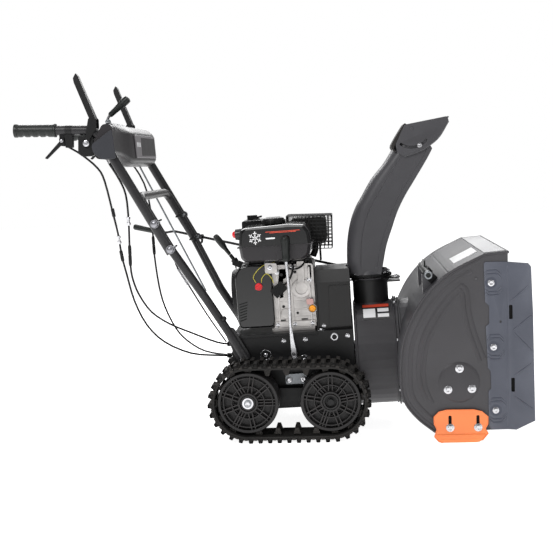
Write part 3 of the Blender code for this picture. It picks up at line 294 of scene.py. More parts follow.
def bent(points, bend_radius, steps=8):
    route = [Vector(p) for p in points]
    path = [route[0]]
    for a, b, c in zip(route, route[1:], route[2:]):
        back, on = (a - b).normalized(), (c - b).normalized()
        half = back.angle(on) / 2
        cut = min(bend_radius / max(0.05, abs(sin(half) / cos(half))),
            0.45 * min((a - b).length, (c - b).length))
        first, last = b + back * cut, b + on * cut
        for k in range(steps + 1):
            t = k / steps
            path.append(first * (1 - t) ** 2 + 2 * b * t * (1 - t) + last * t**2)
    return [*path, route[-1]]


def pipe(path, radius, sides=16, squeeze=1.0):
    """A bar of round or flattened section along a path; radius is one number or one per point."""
    path = [Vector(p) for p in path]
    radii = radius if isinstance(radius, (list, tuple)) else [radius] * len(path)
    shape = bmesh.new()
    rings = []
    across = None
    for i, point in enumerate(path):
        on = (path[min(i + 1, len(path) - 1)] - path[max(i - 1, 0)]).normalized()
        across = on.orthogonal().normalized() if across is None else (
            across - on * across.dot(on)).normalized()
        other = on.cross(across)
        angles = [2 * pi * k / sides for k in range(sides)]
        rings.append([shape.verts.new(point + (across * cos(a) + other * sin(a) * squeeze) * radii[i])
            for a in angles])
    for a, b in zip(rings, rings[1:]):
        for k in range(sides):
            m = (k + 1) % sides
            shape.faces.new((a[k], a[m], b[m], b[k]))
    shape.faces.new(list(reversed(rings[0])))
    shape.faces.new(rings[-1])
    bmesh.ops.recalc_face_normals(shape, faces=shape.faces)
    return shape


def rod(start, end, radius, sides=20):
    return pipe([Vector(start), Vector(end)], radius, sides)


def rounded(outline, radius, steps=4):
    points = []
    count = len(outline)
    for i in range(count):
        a, b, c = (Vector(outline[(i + k) % count]) for k in (-1, 0, 1))
        cut = min(radius, 0.45 * (a - b).length, 0.45 * (c - b).length)
        first, last = b + (a - b).normalized() * cut, b + (c - b).normalized() * cut
        for k in range(steps + 1):
            t = k / steps
            points.append(tuple(first * (1 - t) ** 2 + 2 * b * t * (1 - t) + last * t**2))
    return points


def merged(*shapes):
    """Several separate solids in one bmesh."""
    whole = bmesh.new()
    for shape in shapes:
        mesh = bpy.data.meshes.new("part")
        shape.to_mesh(mesh)
        shape.free()
        whole.from_mesh(mesh)
        bpy.data.meshes.remove(mesh)
    return whole


def mirrored(shape):
    copy = shape.copy()
    bmesh.ops.scale(copy, vec=(1, -1, 1), verts=copy.verts)
    bmesh.ops.reverse_faces(copy, faces=copy.faces)
    return copy


def near_or_far(side, shape):
    """The shape itself for the near side (-1), its mirror image for the far side (1)."""
    return shape if side < 0 else mirrored(shape)


def less(shape, *tools):
    """The shape with the tools cut out of it."""
    for tool in tools:
        made = []
        for part in (shape, tool):
            mesh = bpy.data.meshes.new("part")
            part.to_mesh(mesh)
            part.free()
            made.append(bpy.data.objects.new("part", mesh))
            bpy.context.collection.objects.link(made[-1])
        change = made[0].modifiers.new("cut", "BOOLEAN")
        change.operation, change.object = "DIFFERENCE", made[1]
        graph = bpy.context.evaluated_depsgraph_get()
        shape = bmesh.new()
        shape.from_mesh(bpy.data.meshes.new_from_object(made[0].evaluated_get(graph)))
        for old in made:
            bpy.data.objects.remove(old, do_unlink=True)
        bmesh.ops.remove_doubles(shape, verts=shape.verts, dist=1e-6)
        bmesh.ops.dissolve_limit(shape, angle_limit=radians(0.4), verts=shape.verts, edges=shape.edges)
    return shape


def piece(name, shape, look_of, body, stands_for=(), bevel=0.0, level=False, angle=35, segments=2):
    """A finished piece of the visual, in place, riding on its body."""
    if not level:
        bmesh.ops.transform(shape, matrix=MACHINE, verts=shape.verts)
    mesh = bpy.data.meshes.new(name)
    shape.to_mesh(mesh)
    shape.free()
    made = bpy.data.objects.new(name, mesh)
    bpy.context.collection.objects.link(made)
    mesh.materials.append(look_of)
    mesh.shade_smooth()
    mesh.set_sharp_from_angle(angle=radians(angle))
    if bevel:
        rounding(made, bevel, segments)
    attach(made, body)
    if stands_for:
        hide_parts(*stands_for)
    return made


def rounding(made, width, segments=2):
    change = made.modifiers.new("edges", "BEVEL")
    change.width, change.segments = width, segments
    change.limit_method, change.angle_limit = "ANGLE", radians(32)
    change.harden_normals = True
    made.data.shade_smooth()


def paint(node, look_of, bevel=0.0):
    """Gives a CAD node its material and soft edges."""
    made = NODES[node]
    made.data.materials.clear()
    made.data.materials.append(look_of)
    if bevel:
        rounding(made, bevel)


def hexagon(radius):
    return [(radius * cos(pi / 3 * k), radius * sin(pi / 3 * k)) for k in range(6)]


def bolt(place, axis, size, washer=1.55, head=0.6, socket=False):
    """A flange bolt: a washer and a hexagonal or domed head. The size is the head's radius."""
    direction = Vector(axis).normalized()
    turn = Vector((0, 0, 1)).rotation_difference(direction).to_matrix().to_4x4()
    turn = Matrix.Translation(Vector(place)) @ turn
    flange = turned([(0, 0), (size * washer, 0), (size * washer, size * 0.14),
        (size * washer * 0.9, size * 0.22), (0, size * 0.22)], (0, 0, 0), (0, 0, 1), 28)
    top = size * (0.2 + head)
    if socket:
        cap = turned([(0, 0), (size, 0), (size, top * 0.8), (size * 0.86, top), (size * 0.45, top),
            (size * 0.42, top * 0.5), (0, top * 0.45)], (0, 0, 0), (0, 0, 1), 24)
    else:
        cap = prism(hexagon(size * 0.92), 0, top, "Z")
        dish = [(0, top), (size * 0.74, top), (size * 0.7, top + size * 0.1),
            (size * 0.34, top + size * 0.04), (0, top + size * 0.02)]
        cap = merged(cap, turned(dish, (0, 0, 0), (0, 0, 1), 24))
    whole = merged(flange, cap)
    bmesh.ops.transform(whole, matrix=turn, verts=whole.verts)
    return whole


def dome(place, axis, radius, height):
    profile = [(0, 0), (radius, 0)] + [(radius * cos(a), height * (0.25 + 0.75 * sin(a)))
        for a in (0, 0.3, 0.6, 0.9, 1.2, 1.4)] + [(0, height)]
    return turned(profile, place, axis, 28)


# Tracks, wheels and their carrier. All of these sit level on the ground.
RUN = IDLER.x - AXLE.x
BAND_RADIUS = 0.1065
BAND_INNER = 0.0985
LUG_PITCHES = 41
TRACK_Y = (0.186, 0.3)


def stadium(radius, s):
    """The point and outward angle at a share s of the way round the track's path."""
    total = 2 * RUN + 2 * pi * radius
    reach = (s % 1.0) * total
    arc = pi * radius
    if reach < RUN:
        return AXLE.x + reach, AXLE.z - radius, -pi / 2
    if reach < RUN + arc:
        angle = -pi / 2 + (reach - RUN) / radius
        return IDLER.x + radius * cos(angle), IDLER.z + radius * sin(angle), angle
    if reach < 2 * RUN + arc:
        return IDLER.x - (reach - RUN - arc), IDLER.z + radius, pi / 2
    angle = pi / 2 + (reach - 2 * RUN - arc) / radius
    return AXLE.x + radius * cos(angle), AXLE.z + radius * sin(angle), angle


def band(radius_out, radius_in, low, high, count=96):
    shape = bmesh.new()
    rings = []
    for k in range(count):
        ring = []
        for radius, y in ((radius_out, low), (radius_out, high), (radius_in, high), (radius_in, low)):
            x, z, _ = stadium(radius, k / count)
            ring.append(shape.verts.new((x, y, z)))
        rings.append(ring)
    for k in range(count):
        a, b = rings[k], rings[(k + 1) % count]
        for i in range(4):
            j = (i + 1) % 4
            shape.faces.new((a[i], a[j], b[j], b[i]))
    bmesh.ops.recalc_face_normals(shape, faces=shape.faces)
    return shape


def lug(s, low, high, base, top, length, taper=0.68, hollow=0.0):
    """A block of tread at a share s round the track, narrower at its top, with a pocket in its side face."""
    x, z, angle = stadium(BAND_RADIUS, s)
    shape = bmesh.new()
    rows = []
    for height, half in ((base, length / 2), (top, length / 2 * taper)):
        rows.append([shape.verts.new((a, y, height))
            for a, y in ((-half, low), (half, low), (half, high), (-half, high))])
    shape.faces.new(rows[0])
    shape.faces.new(list(reversed(rows[1])))
    sides = []
    for i in range(4):
        j = (i + 1) % 4
        sides.append(shape.faces.new((rows[0][i], rows[1][i], rows[1][j], rows[0][j])))
    bmesh.ops.recalc_face_normals(shape, faces=shape.faces)
    if hollow:
        bmesh.ops.inset_individual(shape, faces=[sides[0], sides[2]], thickness=length * 0.16,
            depth=-hollow)
    turn = Matrix.Translation((x, 0, z)) @ Matrix.Rotation(pi / 2 - angle, 4, "Y")
    bmesh.ops.transform(shape, matrix=turn, verts=shape.verts)
    return shape


def track_pieces(side):
    """The rubber belt with its two offset rows of lugs and the row of guide lugs inside."""
    low, high = TRACK_Y
    middle = (low + high) / 2
    shapes = [band(BAND_RADIUS, BAND_INNER, low + 0.002, high - 0.002)]
    for k in range(LUG_PITCHES):
        s = (k + 0.2) / LUG_PITCHES
        step = 0.5 / LUG_PITCHES
        shapes.append(lug(s, middle + 0.002, high, -0.002, 0.0115, 0.0155, hollow=0.006))
        shapes.append(lug(s + step, low, middle - 0.002, -0.002, 0.0115, 0.0155, hollow=0.006))
        shapes.append(lug(s, low + 0.004, high - 0.004, -0.001, 0.0035, 0.019, taper=0.9))
        shapes.append(lug(s + step, high - 0.0035, high, -0.003, 0.003, 0.012, taper=0.8))
    for k in range(LUG_PITCHES // 2):
        s = (k + 0.5) * 2 / LUG_PITCHES
        for y in (low + 0.026, high - 0.026):
            horn = lug(s, -0.006, 0.006, -0.0105, -0.0285, 0.022, taper=0.45)
            bmesh.ops.translate(horn, vec=(0, y, 0), verts=horn.verts)
            shapes.append(horn)
    whole = merged(*shapes)
    return whole if side > 0 else mirrored(whole)


for side, name in ((-1, "right"), (1, "left")):
    piece(name + "_track_belt", track_pieces(side), RUBBER, "track_carrier", [name + "_track"],
        bevel=0.0008, level=True, segments=1)


def wheel_pieces(centre, rim, front):
    """The outer face of a moulded track wheel at y = 0 facing -y, drawn about its axle, 82 mm wide."""
    x, z = centre.x, centre.z
    at = (x, 0, z)
    shapes = [
        turned([(rim, 0.004), (rim, 0.082), (rim - 0.006, 0.082), (rim - 0.006, 0.02),
        (rim - 0.01, 0.008), (rim - 0.01, 0.0), (rim - 0.002, 0.0)], at, (0, 1, 0), 72),
        turned([(rim - 0.016, 0.003), (rim - 0.016, 0.012), (rim - 0.02, 0.012), (rim - 0.02, 0.003)], at,
        (0, 1, 0), 64),
        turned([(0.0, 0.016), (rim - 0.006, 0.018), (rim - 0.006, 0.024), (0.0, 0.024)], at, (0, 1, 0),
        64),
        turned([(0.05, 0.003), (0.05, 0.02), (0.046, 0.02), (0.046, 0.003)], at, (0, 1, 0), 56),
        turned([(0.03, -0.004), (0.03, 0.02), (0.024, 0.02), (0.024, -0.004)], at, (0, 1, 0), 48),
    ]
    groups = 9
    for k in range(groups):
        middle = 2 * pi * (k + (0.25 if front else 0.0)) / groups
        for shift in (-0.0085, 0.0, 0.0085) if k % 3 == 0 else (-0.0055, 0.0055):
            rib = block((0.028, rim - 0.008), (0.004, 0.02), (shift - 0.0018, shift + 0.0018))
            turn = Matrix.Translation(at) @ Matrix.Rotation(-middle, 4, "Y")
            bmesh.ops.transform(rib, matrix=turn, verts=rib.verts)
            shapes.append(rib)
    for k in range(groups):
        middle = 2 * pi * (k + (0.75 if front else 0.5)) / groups
        pocket = turned([(0.0075, 0.008), (0.0075, 0.018), (0.005, 0.018), (0.005, 0.008)],
            (x + 0.037 * cos(middle), 0, z + 0.037 * sin(middle)), (0, 1, 0), 20)
        shapes.append(pocket)
    return merged(*shapes)


def on_side(shape, side, y):
    """Moves a shape drawn at y = 0 for the near side out to y, on either side of the machine."""
    bmesh.ops.translate(shape, vec=(0, -y, 0), verts=shape.verts)
    return shape if side < 0 else mirrored(shape)


FACE_Y = 0.2875
for side, name in ((-1, "right"), (1, "left")):
    rear = wheel_pieces(AXLE, 0.0905, False)
    piece(name + "_rear_wheel", on_side(rear, side, FACE_Y), WHEEL, "track_drive",
        [name + "_drive_wheel"], bevel=0.0008, level=True, segments=1)
    hub = merged(
        turned([(0, -0.002), (0.0225, -0.002), (0.0225, 0.01), (0, 0.01)], (AXLE.x, 0, AXLE.z), (0, 1, 0),
        36),
    )
    piece(name + "_rear_hub", on_side(hub, side, FACE_Y), WHEEL, "track_drive", bevel=0.001, level=True)
    washer = merged(disc(0.0165, -0.0055, -0.0035, (AXLE.x, 0, AXLE.z), steps=36),
        bolt((AXLE.x, -0.0055, AXLE.z), (0, -1, 0), 0.0085, 1.25))
    piece(name + "_rear_axle_bolt", on_side(washer, side, FACE_Y), ZINC, "track_drive", bevel=0.0004,
        level=True, segments=1)
    front = wheel_pieces(IDLER, 0.089, True)
    piece(name + "_front_wheel", on_side(front, side, FACE_Y), WHEEL, name + "_idler",
        [name + "_idler_wheel"], bevel=0.0008, level=True, segments=1)
    cup = turned([(0.0225, -0.006), (0.0225, 0.012), (0.0, 0.012), (0.0, 0.006), (0.0175, 0.006),
        (0.0175, -0.006)], (IDLER.x, 0, IDLER.z), (0, 1, 0), 36)
    piece(name + "_front_hub", on_side(cup, side, FACE_Y), WHEEL, name + "_idler", bevel=0.0008,
        level=True)
    piece(name + "_front_axle_nut", on_side(bolt((IDLER.x, 0.006, IDLER.z), (0, -1, 0), 0.0062, 1.5),
        side, FACE_Y), ZINC, name + "_idler", bevel=0.0003, level=True, segments=1)

paint("track_frame", FRAME_BLACK, 0.0008)
paint("drive_axle", GALVANISED)


# Main frame
paint("chassis_frame", FRAME_BLACK, 0.0015)
paint("belt_cover", COVER, 0.0025)
paint("drive_belt", BELT)
paint("impeller_pulley", IRON, 0.0006)
paint("engine_pulley", IRON, 0.0006)
FRAME_Y = 0.15
for side, name in ((-1, "right"), (1, "left")):
    details = [
        turned([(0.0125, 0), (0.0125, -0.003), (0.0105, -0.005), (0.0072, -0.005), (0.0072, 0)],
        (0.178, side * FRAME_Y, 0.2772), (0, -side, 0), 28),
        turned([(0.016, 0), (0.016, -0.0015), (0.013, -0.0015), (0.013, 0)],
        (0.0831, side * FRAME_Y, 0.212), (0, -side, 0), 28),
        turned([(0.016, 0), (0.016, -0.0015), (0.014, -0.0015), (0.014, 0)],
        (-0.0329, side * FRAME_Y, 0.234), (0, -side, 0), 28),
        dome((-0.0329, side * FRAME_Y, 0.234), (0, side, 0), 0.007, 0.006),
        dome((0.0831, side * FRAME_Y, 0.212), (0, side, 0), 0.007, 0.006),
    ]
    piece(name + "_frame_grommets", merged(*details), ZINC, "chassis", bevel=0.0006)
    heads = [bolt((x, side * (FRAME_Y + 0.0002), z), (0, side, 0), 0.0046)
        for x, z in ((0.0247, 0.2727), (0.09, 0.273), (0.218, 0.278), (0.208, 0.15))]
    heads += [bolt((0.0775, side * 0.1655, 0.156), (0, side, 0), 0.006),
        bolt((0.034, side * 0.1655, 0.156), (0, side, 0), 0.006)]
    piece(name + "_frame_bolts", merged(*heads), ZINC, "chassis", bevel=0.0004, segments=1)
    bracket = prism(rounded([(0.0225, 0.174), (0.086, 0.174), (0.086, 0.142), (0.0225, 0.142)], 0.005),
        side * 0.1515, side * 0.1645)
    piece(name + "_axle_bracket", bracket, GALVANISED, "chassis", bevel=0.001)
    rim = prism(rounded([(-0.137, 0.2975), (0.128, 0.2975), (0.128, 0.289), (-0.137, 0.289)], 0.002),
        side * 0.149, side * 0.156)
    piece(name + "_deck_edge", rim, FRAME_BLACK, "chassis", bevel=0.0012)
    piece(name + "_leg_knob", dome((-0.148, side * 0.178, 0.3566), (0, side, 0), 0.008, 0.01), MOULDED,
        "chassis")
piece("deck_bolt", merged(*[bolt((x, y, 0.2972), (0, 0, 1), 0.0068)
    for x, y in ((0.1385, -0.135), (0.1385, 0.135), (-0.115, -0.128), (-0.115, 0.128))]), ZINC, "chassis",
    bevel=0.0004, segments=1)


# The belt cover's corner ribs and screws
COVER_HALF = 0.122
corners = []
for side in (-1, 1):
    for x in (0.132, 0.231):
        corners.append(rod((x, side * (COVER_HALF + 0.0004), 0.302),
            (x, side * (COVER_HALF + 0.0004), 0.438), 0.0028, 12))
    step = [(0.164, 0.302), (0.231, 0.302), (0.231, 0.43), (0.17, 0.43)]
    corners.append(prism(rounded(step, 0.006), side * (COVER_HALF - 0.0005), side * (COVER_HALF + 0.003)))
piece("belt_cover_ribs", merged(*corners), COVER, "chassis", bevel=0.0008)
piece("belt_cover_screws",
    merged(*[bolt((0.148, s * (COVER_HALF + 0.001), 0.308), (0, s, 0), 0.004) for s in (-1, 1)]), ZINC,
    "chassis", bevel=0.0003, segments=1)


# Impeller drum, its seams and label
paint("impeller_housing", CHARCOAL, 0.0008)
DRUM = 0.162
drum_parts = [
    turned([(DRUM, 0.2405), (DRUM + 0.0045, 0.242), (DRUM + 0.0045, 0.2455), (DRUM, 0.247)], IMPELLER,
    (1, 0, 0), 72),
    turned([(DRUM, 0.36), (DRUM + 0.003, 0.361), (DRUM + 0.003, 0.364), (DRUM, 0.365)], IMPELLER,
    (1, 0, 0), 72),
]
piece("drum_beads", merged(*drum_parts), CHARCOAL, "chassis", bevel=0.0005)


def drum_patch(x, start, end, lift):
    """A thin curved patch on the drum between two angles, measured from the near side."""
    shape = bmesh.new()
    rings = []
    count = 10
    for k in range(count + 1):
        angle = radians(start + (end - start) * k / count)
        ring = []
        for radius in (DRUM - 0.0006, DRUM + lift):
            for reach in x:
                ring.append(shape.verts.new((reach, -radius * cos(angle),
                    IMPELLER.z + radius * sin(angle))))
        rings.append([ring[0], ring[1], ring[3], ring[2]])
    for a, b in zip(rings, rings[1:]):
        for i in range(4):
            j = (i + 1) % 4
            shape.faces.new((a[i], a[j], b[j], b[i]))
    shape.faces.new(rings[0])
    shape.faces.new(list(reversed(rings[-1])))
    bmesh.ops.recalc_face_normals(shape, faces=shape.faces)
    return shape


piece("drum_label", drum_patch((0.266, 0.35), 46.0, 73.0, 0.0007), LABEL, "chassis")
piece("drum_label_bar", drum_patch((0.268, 0.348), 66.0, 72.0, 0.001), LABEL_RED, "chassis")
piece("drum_label_blocks", merged(drum_patch((0.269, 0.306), 49.0, 63.0, 0.001),
    drum_patch((0.313, 0.347), 57.0, 63.0, 0.001), drum_patch((0.313, 0.347), 49.0, 54.0, 0.001)), WHITE,
    "chassis")


# Auger housing: side plates with pressed lines, bearings, extension plates and skid shoes
paint("auger_housing", CHUTE_PAINT, 0.0006)
paint("auger_gearbox", IRON, 0.0015)
paint("scraper_bar", GALVANISED, 0.0008)
BACK_CURL = [
    (0.4509, 0.0098), (0.4035, 0.052), (0.368, 0.105), (0.3605, 0.17), (0.3733, 0.2753),
    (0.4131, 0.3629), (0.4626, 0.4259), (0.5223, 0.4724), (0.6156, 0.5144),
]
TOP_FRONT = (0.682, 0.517)
BOTTOM_FRONT = (0.66, 0.0098)


def curl(per=6):
    return [(p.x, p.z) for p in smooth_path([(x, 0.0, z) for x, z in BACK_CURL], per)]


def inset(path, depth):
    moved = []
    for i, (x, z) in enumerate(path):
        a, b = path[max(i - 1, 0)], path[min(i + 1, len(path) - 1)]
        run = hypot(b[0] - a[0], b[1] - a[1])
        moved.append((x + (b[1] - a[1]) / run * depth, z - (b[0] - a[0]) / run * depth))
    return moved


def at_y(points, y):
    return [(x, y, z) for x, z in points]


def bead(points, y, radius):
    """A pressed ridge on a flat side: a broad, low bar along points (x, z)."""
    shape = pipe(at_y(points, y), radius, 14)
    bmesh.ops.scale(shape, vec=(1, 0.36, 1), space=Matrix.Translation((0, -y, 0)), verts=shape.verts)
    return shape


def side_plate():
    """The near side plate with its rolled rear rim, pressed teardrop lines and bearing seat."""
    edge = curl()
    plate = prism([*edge, TOP_FRONT, BOTTOM_FRONT], -PLATE_Y, -PLATE_Y + 0.0028)
    rim_path = at_y(inset(edge, 0.0022), -PLATE_Y + 0.0002)
    rim_path.append((TOP_FRONT[0], -PLATE_Y + 0.0002, TOP_FRONT[1] - 0.0022))
    shapes = [plate, pipe(rim_path, 0.0034, 14)]
    shapes.append(bead(inset(edge[1:-1], 0.0115), -PLATE_Y + 0.0002, 0.004))
    shapes.append(bead(inset(edge[2:-3], 0.029), -PLATE_Y + 0.0002, 0.0066))
    apex = (0.548, 0.431)
    left = smooth_path([(*apex, 0), (0.518, 0.408, 0), (0.47, 0.35, 0), (0.433, 0.286, 0),
        (0.417, 0.218, 0), (0.416, 0.16, 0), (0.434, 0.105, 0)], 6)
    right = smooth_path([(*apex, 0), (0.562, 0.412, 0), (0.565, 0.36, 0), (0.574, 0.308, 0),
        (0.59, 0.252, 0), (0.602, 0.215, 0)], 6)
    for shift, sunk, radius in ((0.0, 0.0002, 0.0068), (0.018, 0.0002, 0.006)):
        shapes.append(bead([(p.x + shift * 0.8, p.y - shift * 0.5) for p in left], -PLATE_Y + sunk,
            radius))
        shapes.append(bead([(p.x - shift * 0.7, p.y - shift * 0.3) for p in right], -PLATE_Y + sunk,
            radius))
    seat = [(0.0, 0.0005), (0.06, 0.0005), (0.0575, -0.0008), (0.054, -0.0034), (0.0505, -0.0042),
        (0.0, -0.0044)]
    shapes.append(turned(seat, (AUGER.x, -PLATE_Y, AUGER.z), (0, 1, 0), 72))
    return merged(*shapes)


BEARING_BOLTS = ((0.53, 0.1925), (0.4945, 0.1335), (0.562, 0.1325))
PLATE_BOLTS = ((0.6301, 0.4311), (0.6281, 0.2481), (0.6252, 0.0661))
FOLD_TOP, FOLD_LOW = (0.6784, 0.4885), (0.6575, 0.0094)
FLARE = 0.3


def fold_x(z):
    return FOLD_LOW[0] + (FOLD_TOP[0] - FOLD_LOW[0]) * (z - FOLD_LOW[1]) / (FOLD_TOP[1] - FOLD_LOW[1])


def on_plate(x, z, lift=0.0):
    """A point on the near face of the extension plate, in front of or behind its fold."""
    out = max(0.0, x - fold_x(z))
    return Vector((x, -(PLATE_Y + 0.0023 + lift) - out * FLARE, z))


def extension():
    """The bolted plate with its flared front wing, notched rear edge, two slots and a hole; its pressed
    ridges come from plate_ridges.
    """
    left = [
        FOLD_LOW, (0.6123, 0.0103), (0.6045, 0.0226), (0.6083, 0.1211), (0.6164, 0.1305), (0.617, 0.1795),
        (0.6099, 0.1897),
        (0.6102, 0.3087), (0.62, 0.3159), (0.6226, 0.3661), (0.6118, 0.3784), (0.6135, 0.4862),
        (0.6176, 0.4917), FOLD_TOP,
    ]
    wing = [FOLD_LOW, (0.6812, 0.0085), (0.7321, 0.0354), (0.7406, 0.3433), (0.7409, 0.4722),
        (0.7339, 0.4822), FOLD_TOP]
    shape = bmesh.new()
    corners = {}
    for outline in (left, list(reversed(wing))):
        face = []
        for x, z in outline:
            if (x, z) not in corners:
                y = -(PLATE_Y + 0.0013) - max(0.0, x - fold_x(z)) * FLARE
                corners[(x, z)] = shape.verts.new((x, y, z))
            face.append(corners[(x, z)])
        shape.faces.new(face)
    bmesh.ops.recalc_face_normals(shape, faces=shape.faces)
    sheet = bpy.data.meshes.new("sheet")
    shape.to_mesh(sheet)
    shape.free()
    made = bpy.data.objects.new("sheet", sheet)
    bpy.context.collection.objects.link(made)
    thick = made.modifiers.new("thickness", "SOLIDIFY")
    thick.thickness, thick.offset = 0.0022, 0.0
    graph = bpy.context.evaluated_depsgraph_get()
    solid = bmesh.new()
    solid.from_mesh(bpy.data.meshes.new_from_object(made.evaluated_get(graph)))
    bpy.data.objects.remove(made, do_unlink=True)
    bmesh.ops.recalc_face_normals(solid, faces=solid.faces)
    slots = []
    for z in (0.346, 0.138):
        lean = 0.01 if z > 0.3 else 0.006
        outline = rounded([(0.666 + lean, z - 0.02), (0.6755 + lean, z - 0.02), (0.677 + lean, z + 0.02),
            (0.6675 + lean, z + 0.02)], 0.003)
        slots.append(prism(outline, -0.4, -0.3))
    slots.append(disc(0.0035, -0.36, -0.3, (0.652, 0, 0.32), steps=20))
    return less(solid, *slots)


def bent_pairs(points):
    return [(p.x, p.z) for p in bent([(x, 0.0, z) for x, z in points], 0.006, 4)]


def plate_ridges():
    """Double chevrons above and below each bolt, and slim ridges on the wing."""
    shapes = []
    for x, z in PLATE_BOLTS:
        for way in (-1, 1):
            for step in (0.0, 0.0095):
                reach = 0.0165 + step
                points = [(x - 0.0165, z + way * (reach + 0.001)), (x - 0.008, z + way * (reach + 0.009)),
                    (x + 0.017, z + way * (reach + 0.009)), (x + 0.029, z + way * (reach - 0.004))]
                shapes.append(pipe([on_plate(a, b, -0.001) for a, b in bent_pairs(points)], 0.0026, 12))
    for first, last in (((0.682, 0.375), (0.73, 0.418)), ((0.686, 0.295), (0.735, 0.335)),
        ((0.688, 0.286), (0.733, 0.235)), ((0.683, 0.165), (0.728, 0.198)),
        ((0.681, 0.104), (0.726, 0.07))):
        shapes.append(pipe([on_plate(*first, -0.0006),
            on_plate((first[0] + last[0]) / 2, (first[1] + last[1]) / 2, -0.0004),
            on_plate(*last, -0.0006)], 0.0022, 8))
    shapes.append(pipe([on_plate(fold_x(z), z, -0.001) for z in (0.02, 0.25, 0.48)], 0.002, 8))
    return merged(*shapes)


SHOE_BOLTS = (0.4975, 0.5765)


def shoe():
    """The orange skid shoe: chamfered plate, slots, side notches and a runner, level with the ground."""
    outline = [
        (0.4525, 0.018), (0.464, 0.0045), (0.476, 0.0), (0.573, 0.0), (0.588, 0.006), (0.6045, 0.026),
        (0.5965, 0.04), (0.604, 0.053),
        (0.6045, 0.074), (0.587, 0.0895), (0.564, 0.095), (0.489, 0.0955), (0.467, 0.0905),
        (0.4525, 0.076), (0.4525, 0.056), (0.46, 0.04),
    ]
    plate = prism(outline, -0.3275, -0.3235)
    slots = [prism(rounded([(x - 0.0045, 0.036), (x + 0.0045, 0.036), (x + 0.0045, 0.079),
        (x - 0.0045, 0.079)], 0.0043), -0.34, -0.31) for x in SHOE_BOLTS]
    foot = [(-0.328, 0.006), (-0.3268, 0.0016), (-0.3225, 0.0), (-0.29, 0.0), (-0.29, 0.0042),
        (-0.3215, 0.0042), (-0.324, 0.006), (-0.328, 0.01)]
    runner = prism(foot, 0.47, 0.581, "X")
    rim = pipe([(x, -0.3276, z) for x, z in [*outline[4:], *outline[:3]]], 0.0017, 8)
    fold = pipe([(0.46, -0.3278, 0.0225), (0.596, -0.3278, 0.0225)], 0.0024, 8)
    return merged(less(plate, *slots), runner, rim, fold)


def shoe_slot_shade():
    """Painted shade: dark blocks behind the shoe's slots, where only shade shows through."""
    shapes = [block((x - 0.01, x + 0.01), (-0.3235, -0.3205), (0.03, 0.085)) for x in SHOE_BOLTS]
    return merged(*shapes)


for side, name in ((-1, "right"), (1, "left")):
    piece(name + "_cheek", near_or_far(side, side_plate()), CHARCOAL, "chassis", [name + "_side_plate"],
        bevel=0.0005, angle=40)
    piece(name + "_wing_plate", near_or_far(side, merged(extension(), plate_ridges())), SLATE, "chassis",
        [name + "_extension_plate"], bevel=0.0004, segments=1)
    heads = [bolt((x, -PLATE_Y - 0.0042, z), (0, -1, 0), 0.0078, 1.55) for x, z in BEARING_BOLTS]
    heads += [bolt(on_plate(x + 0.001, z), (0, -1, 0), 0.007, 1.35) for x, z in PLATE_BOLTS]
    nub = merged(disc(0.0032, -PLATE_Y - 0.0022, -PLATE_Y, (0.59, 0, 0.445), steps=16))
    piece(name + "_cheek_nub", near_or_far(side, nub), CHARCOAL, "chassis")
    seats = [turned([(0.0, 0.0), (0.0175, 0.0), (0.0165, 0.0016), (0.0, 0.0016)],
        on_plate(x + 0.001, z, -0.0012), (0, -1, 0), 32) for x, z in PLATE_BOLTS]
    piece(name + "_plate_bolt_seats", near_or_far(side, merged(*seats)), SLATE, "chassis", bevel=0.0005)
    # Painted shade: thin dark patches on the side plate behind the extension plate's two slots.
    plate_slot_shade = merged(*[prism([(0.664, z - 0.026), (0.692, z - 0.026), (0.692, z + 0.026),
        (0.664, z + 0.026)], -PLATE_Y - 0.0005, -PLATE_Y + 0.0005) for z in (0.346, 0.138)])
    piece(name + "_plate_slot_shade", near_or_far(side, plate_slot_shade), DARK, "chassis")
    piece(name + "_housing_bolts", near_or_far(side, merged(*heads)), ZINC, "chassis", bevel=0.0004,
        segments=1)
    piece(name + "_runner_shoe", near_or_far(side, shoe()), ORANGE, "chassis", [name + "_skid_shoe"],
        bevel=0.001, level=True)
    # Painted shade behind the shoe's slots.
    piece(name + "_shoe_slot_shade", near_or_far(side, shoe_slot_shade()), DARK, "chassis", level=True)
    studs = merged(*[bolt((x, -0.3278, 0.044), (0, -1, 0), 0.008, 1.5) for x in SHOE_BOLTS])
    piece(name + "_shoe_bolts", near_or_far(side, studs), ZINC, "chassis", bevel=0.0004, level=True,
        segments=1)


# The top shell: rolled front lip, seams, drum neck ring and its bolts, a side label and a painted reflection
# on the flat top
lip = [(0.6822, -0.317, 0.5148), (0.6822, 0.317, 0.5148)]
piece("housing_front_lip", pipe(lip, 0.0042, 16), CHUTE_PAINT, "chassis")
seams = [prism(rounded([(x, z), (x + 0.004, z + 0.0032), (x + 0.002, z + 0.0058),
    (x - 0.002, z + 0.0026)], 0.0008), -0.3, 0.3) for x, z in ((0.515, 0.465), (0.452, 0.412))]
piece("housing_seams", merged(*seams), CHUTE_PAINT, "chassis", bevel=0.0006)
NECK = turned([(0.1625, 0.3745), (0.1665, 0.3755), (0.1665, 0.379), (0.1625, 0.38)], IMPELLER, (1, 0, 0),
    72)
piece("drum_clamp_ring", NECK, CHARCOAL, "chassis")
ring_bolts = [bolt((0.368, -0.1705 * cos(radians(a)), IMPELLER.z + 0.1705 * sin(radians(a))), (-1, 0, 0),
    0.005) for a in (20, 70, 110, 160, 215, 325)]
piece("drum_flange_bolts", merged(*ring_bolts), ZINC, "chassis", bevel=0.0003, segments=1)


def shell_point(t, lift=0.0):
    """A point on the housing top, t from 0 at the bend to 1 at the flat front, lifted off it by lift."""
    a, b = Vector((0.5223, 0.4724)), Vector((0.6156, 0.5144))
    along = (b - a).normalized()
    up = Vector((-along.y, along.x))
    return a + (b - a) * t + up * lift


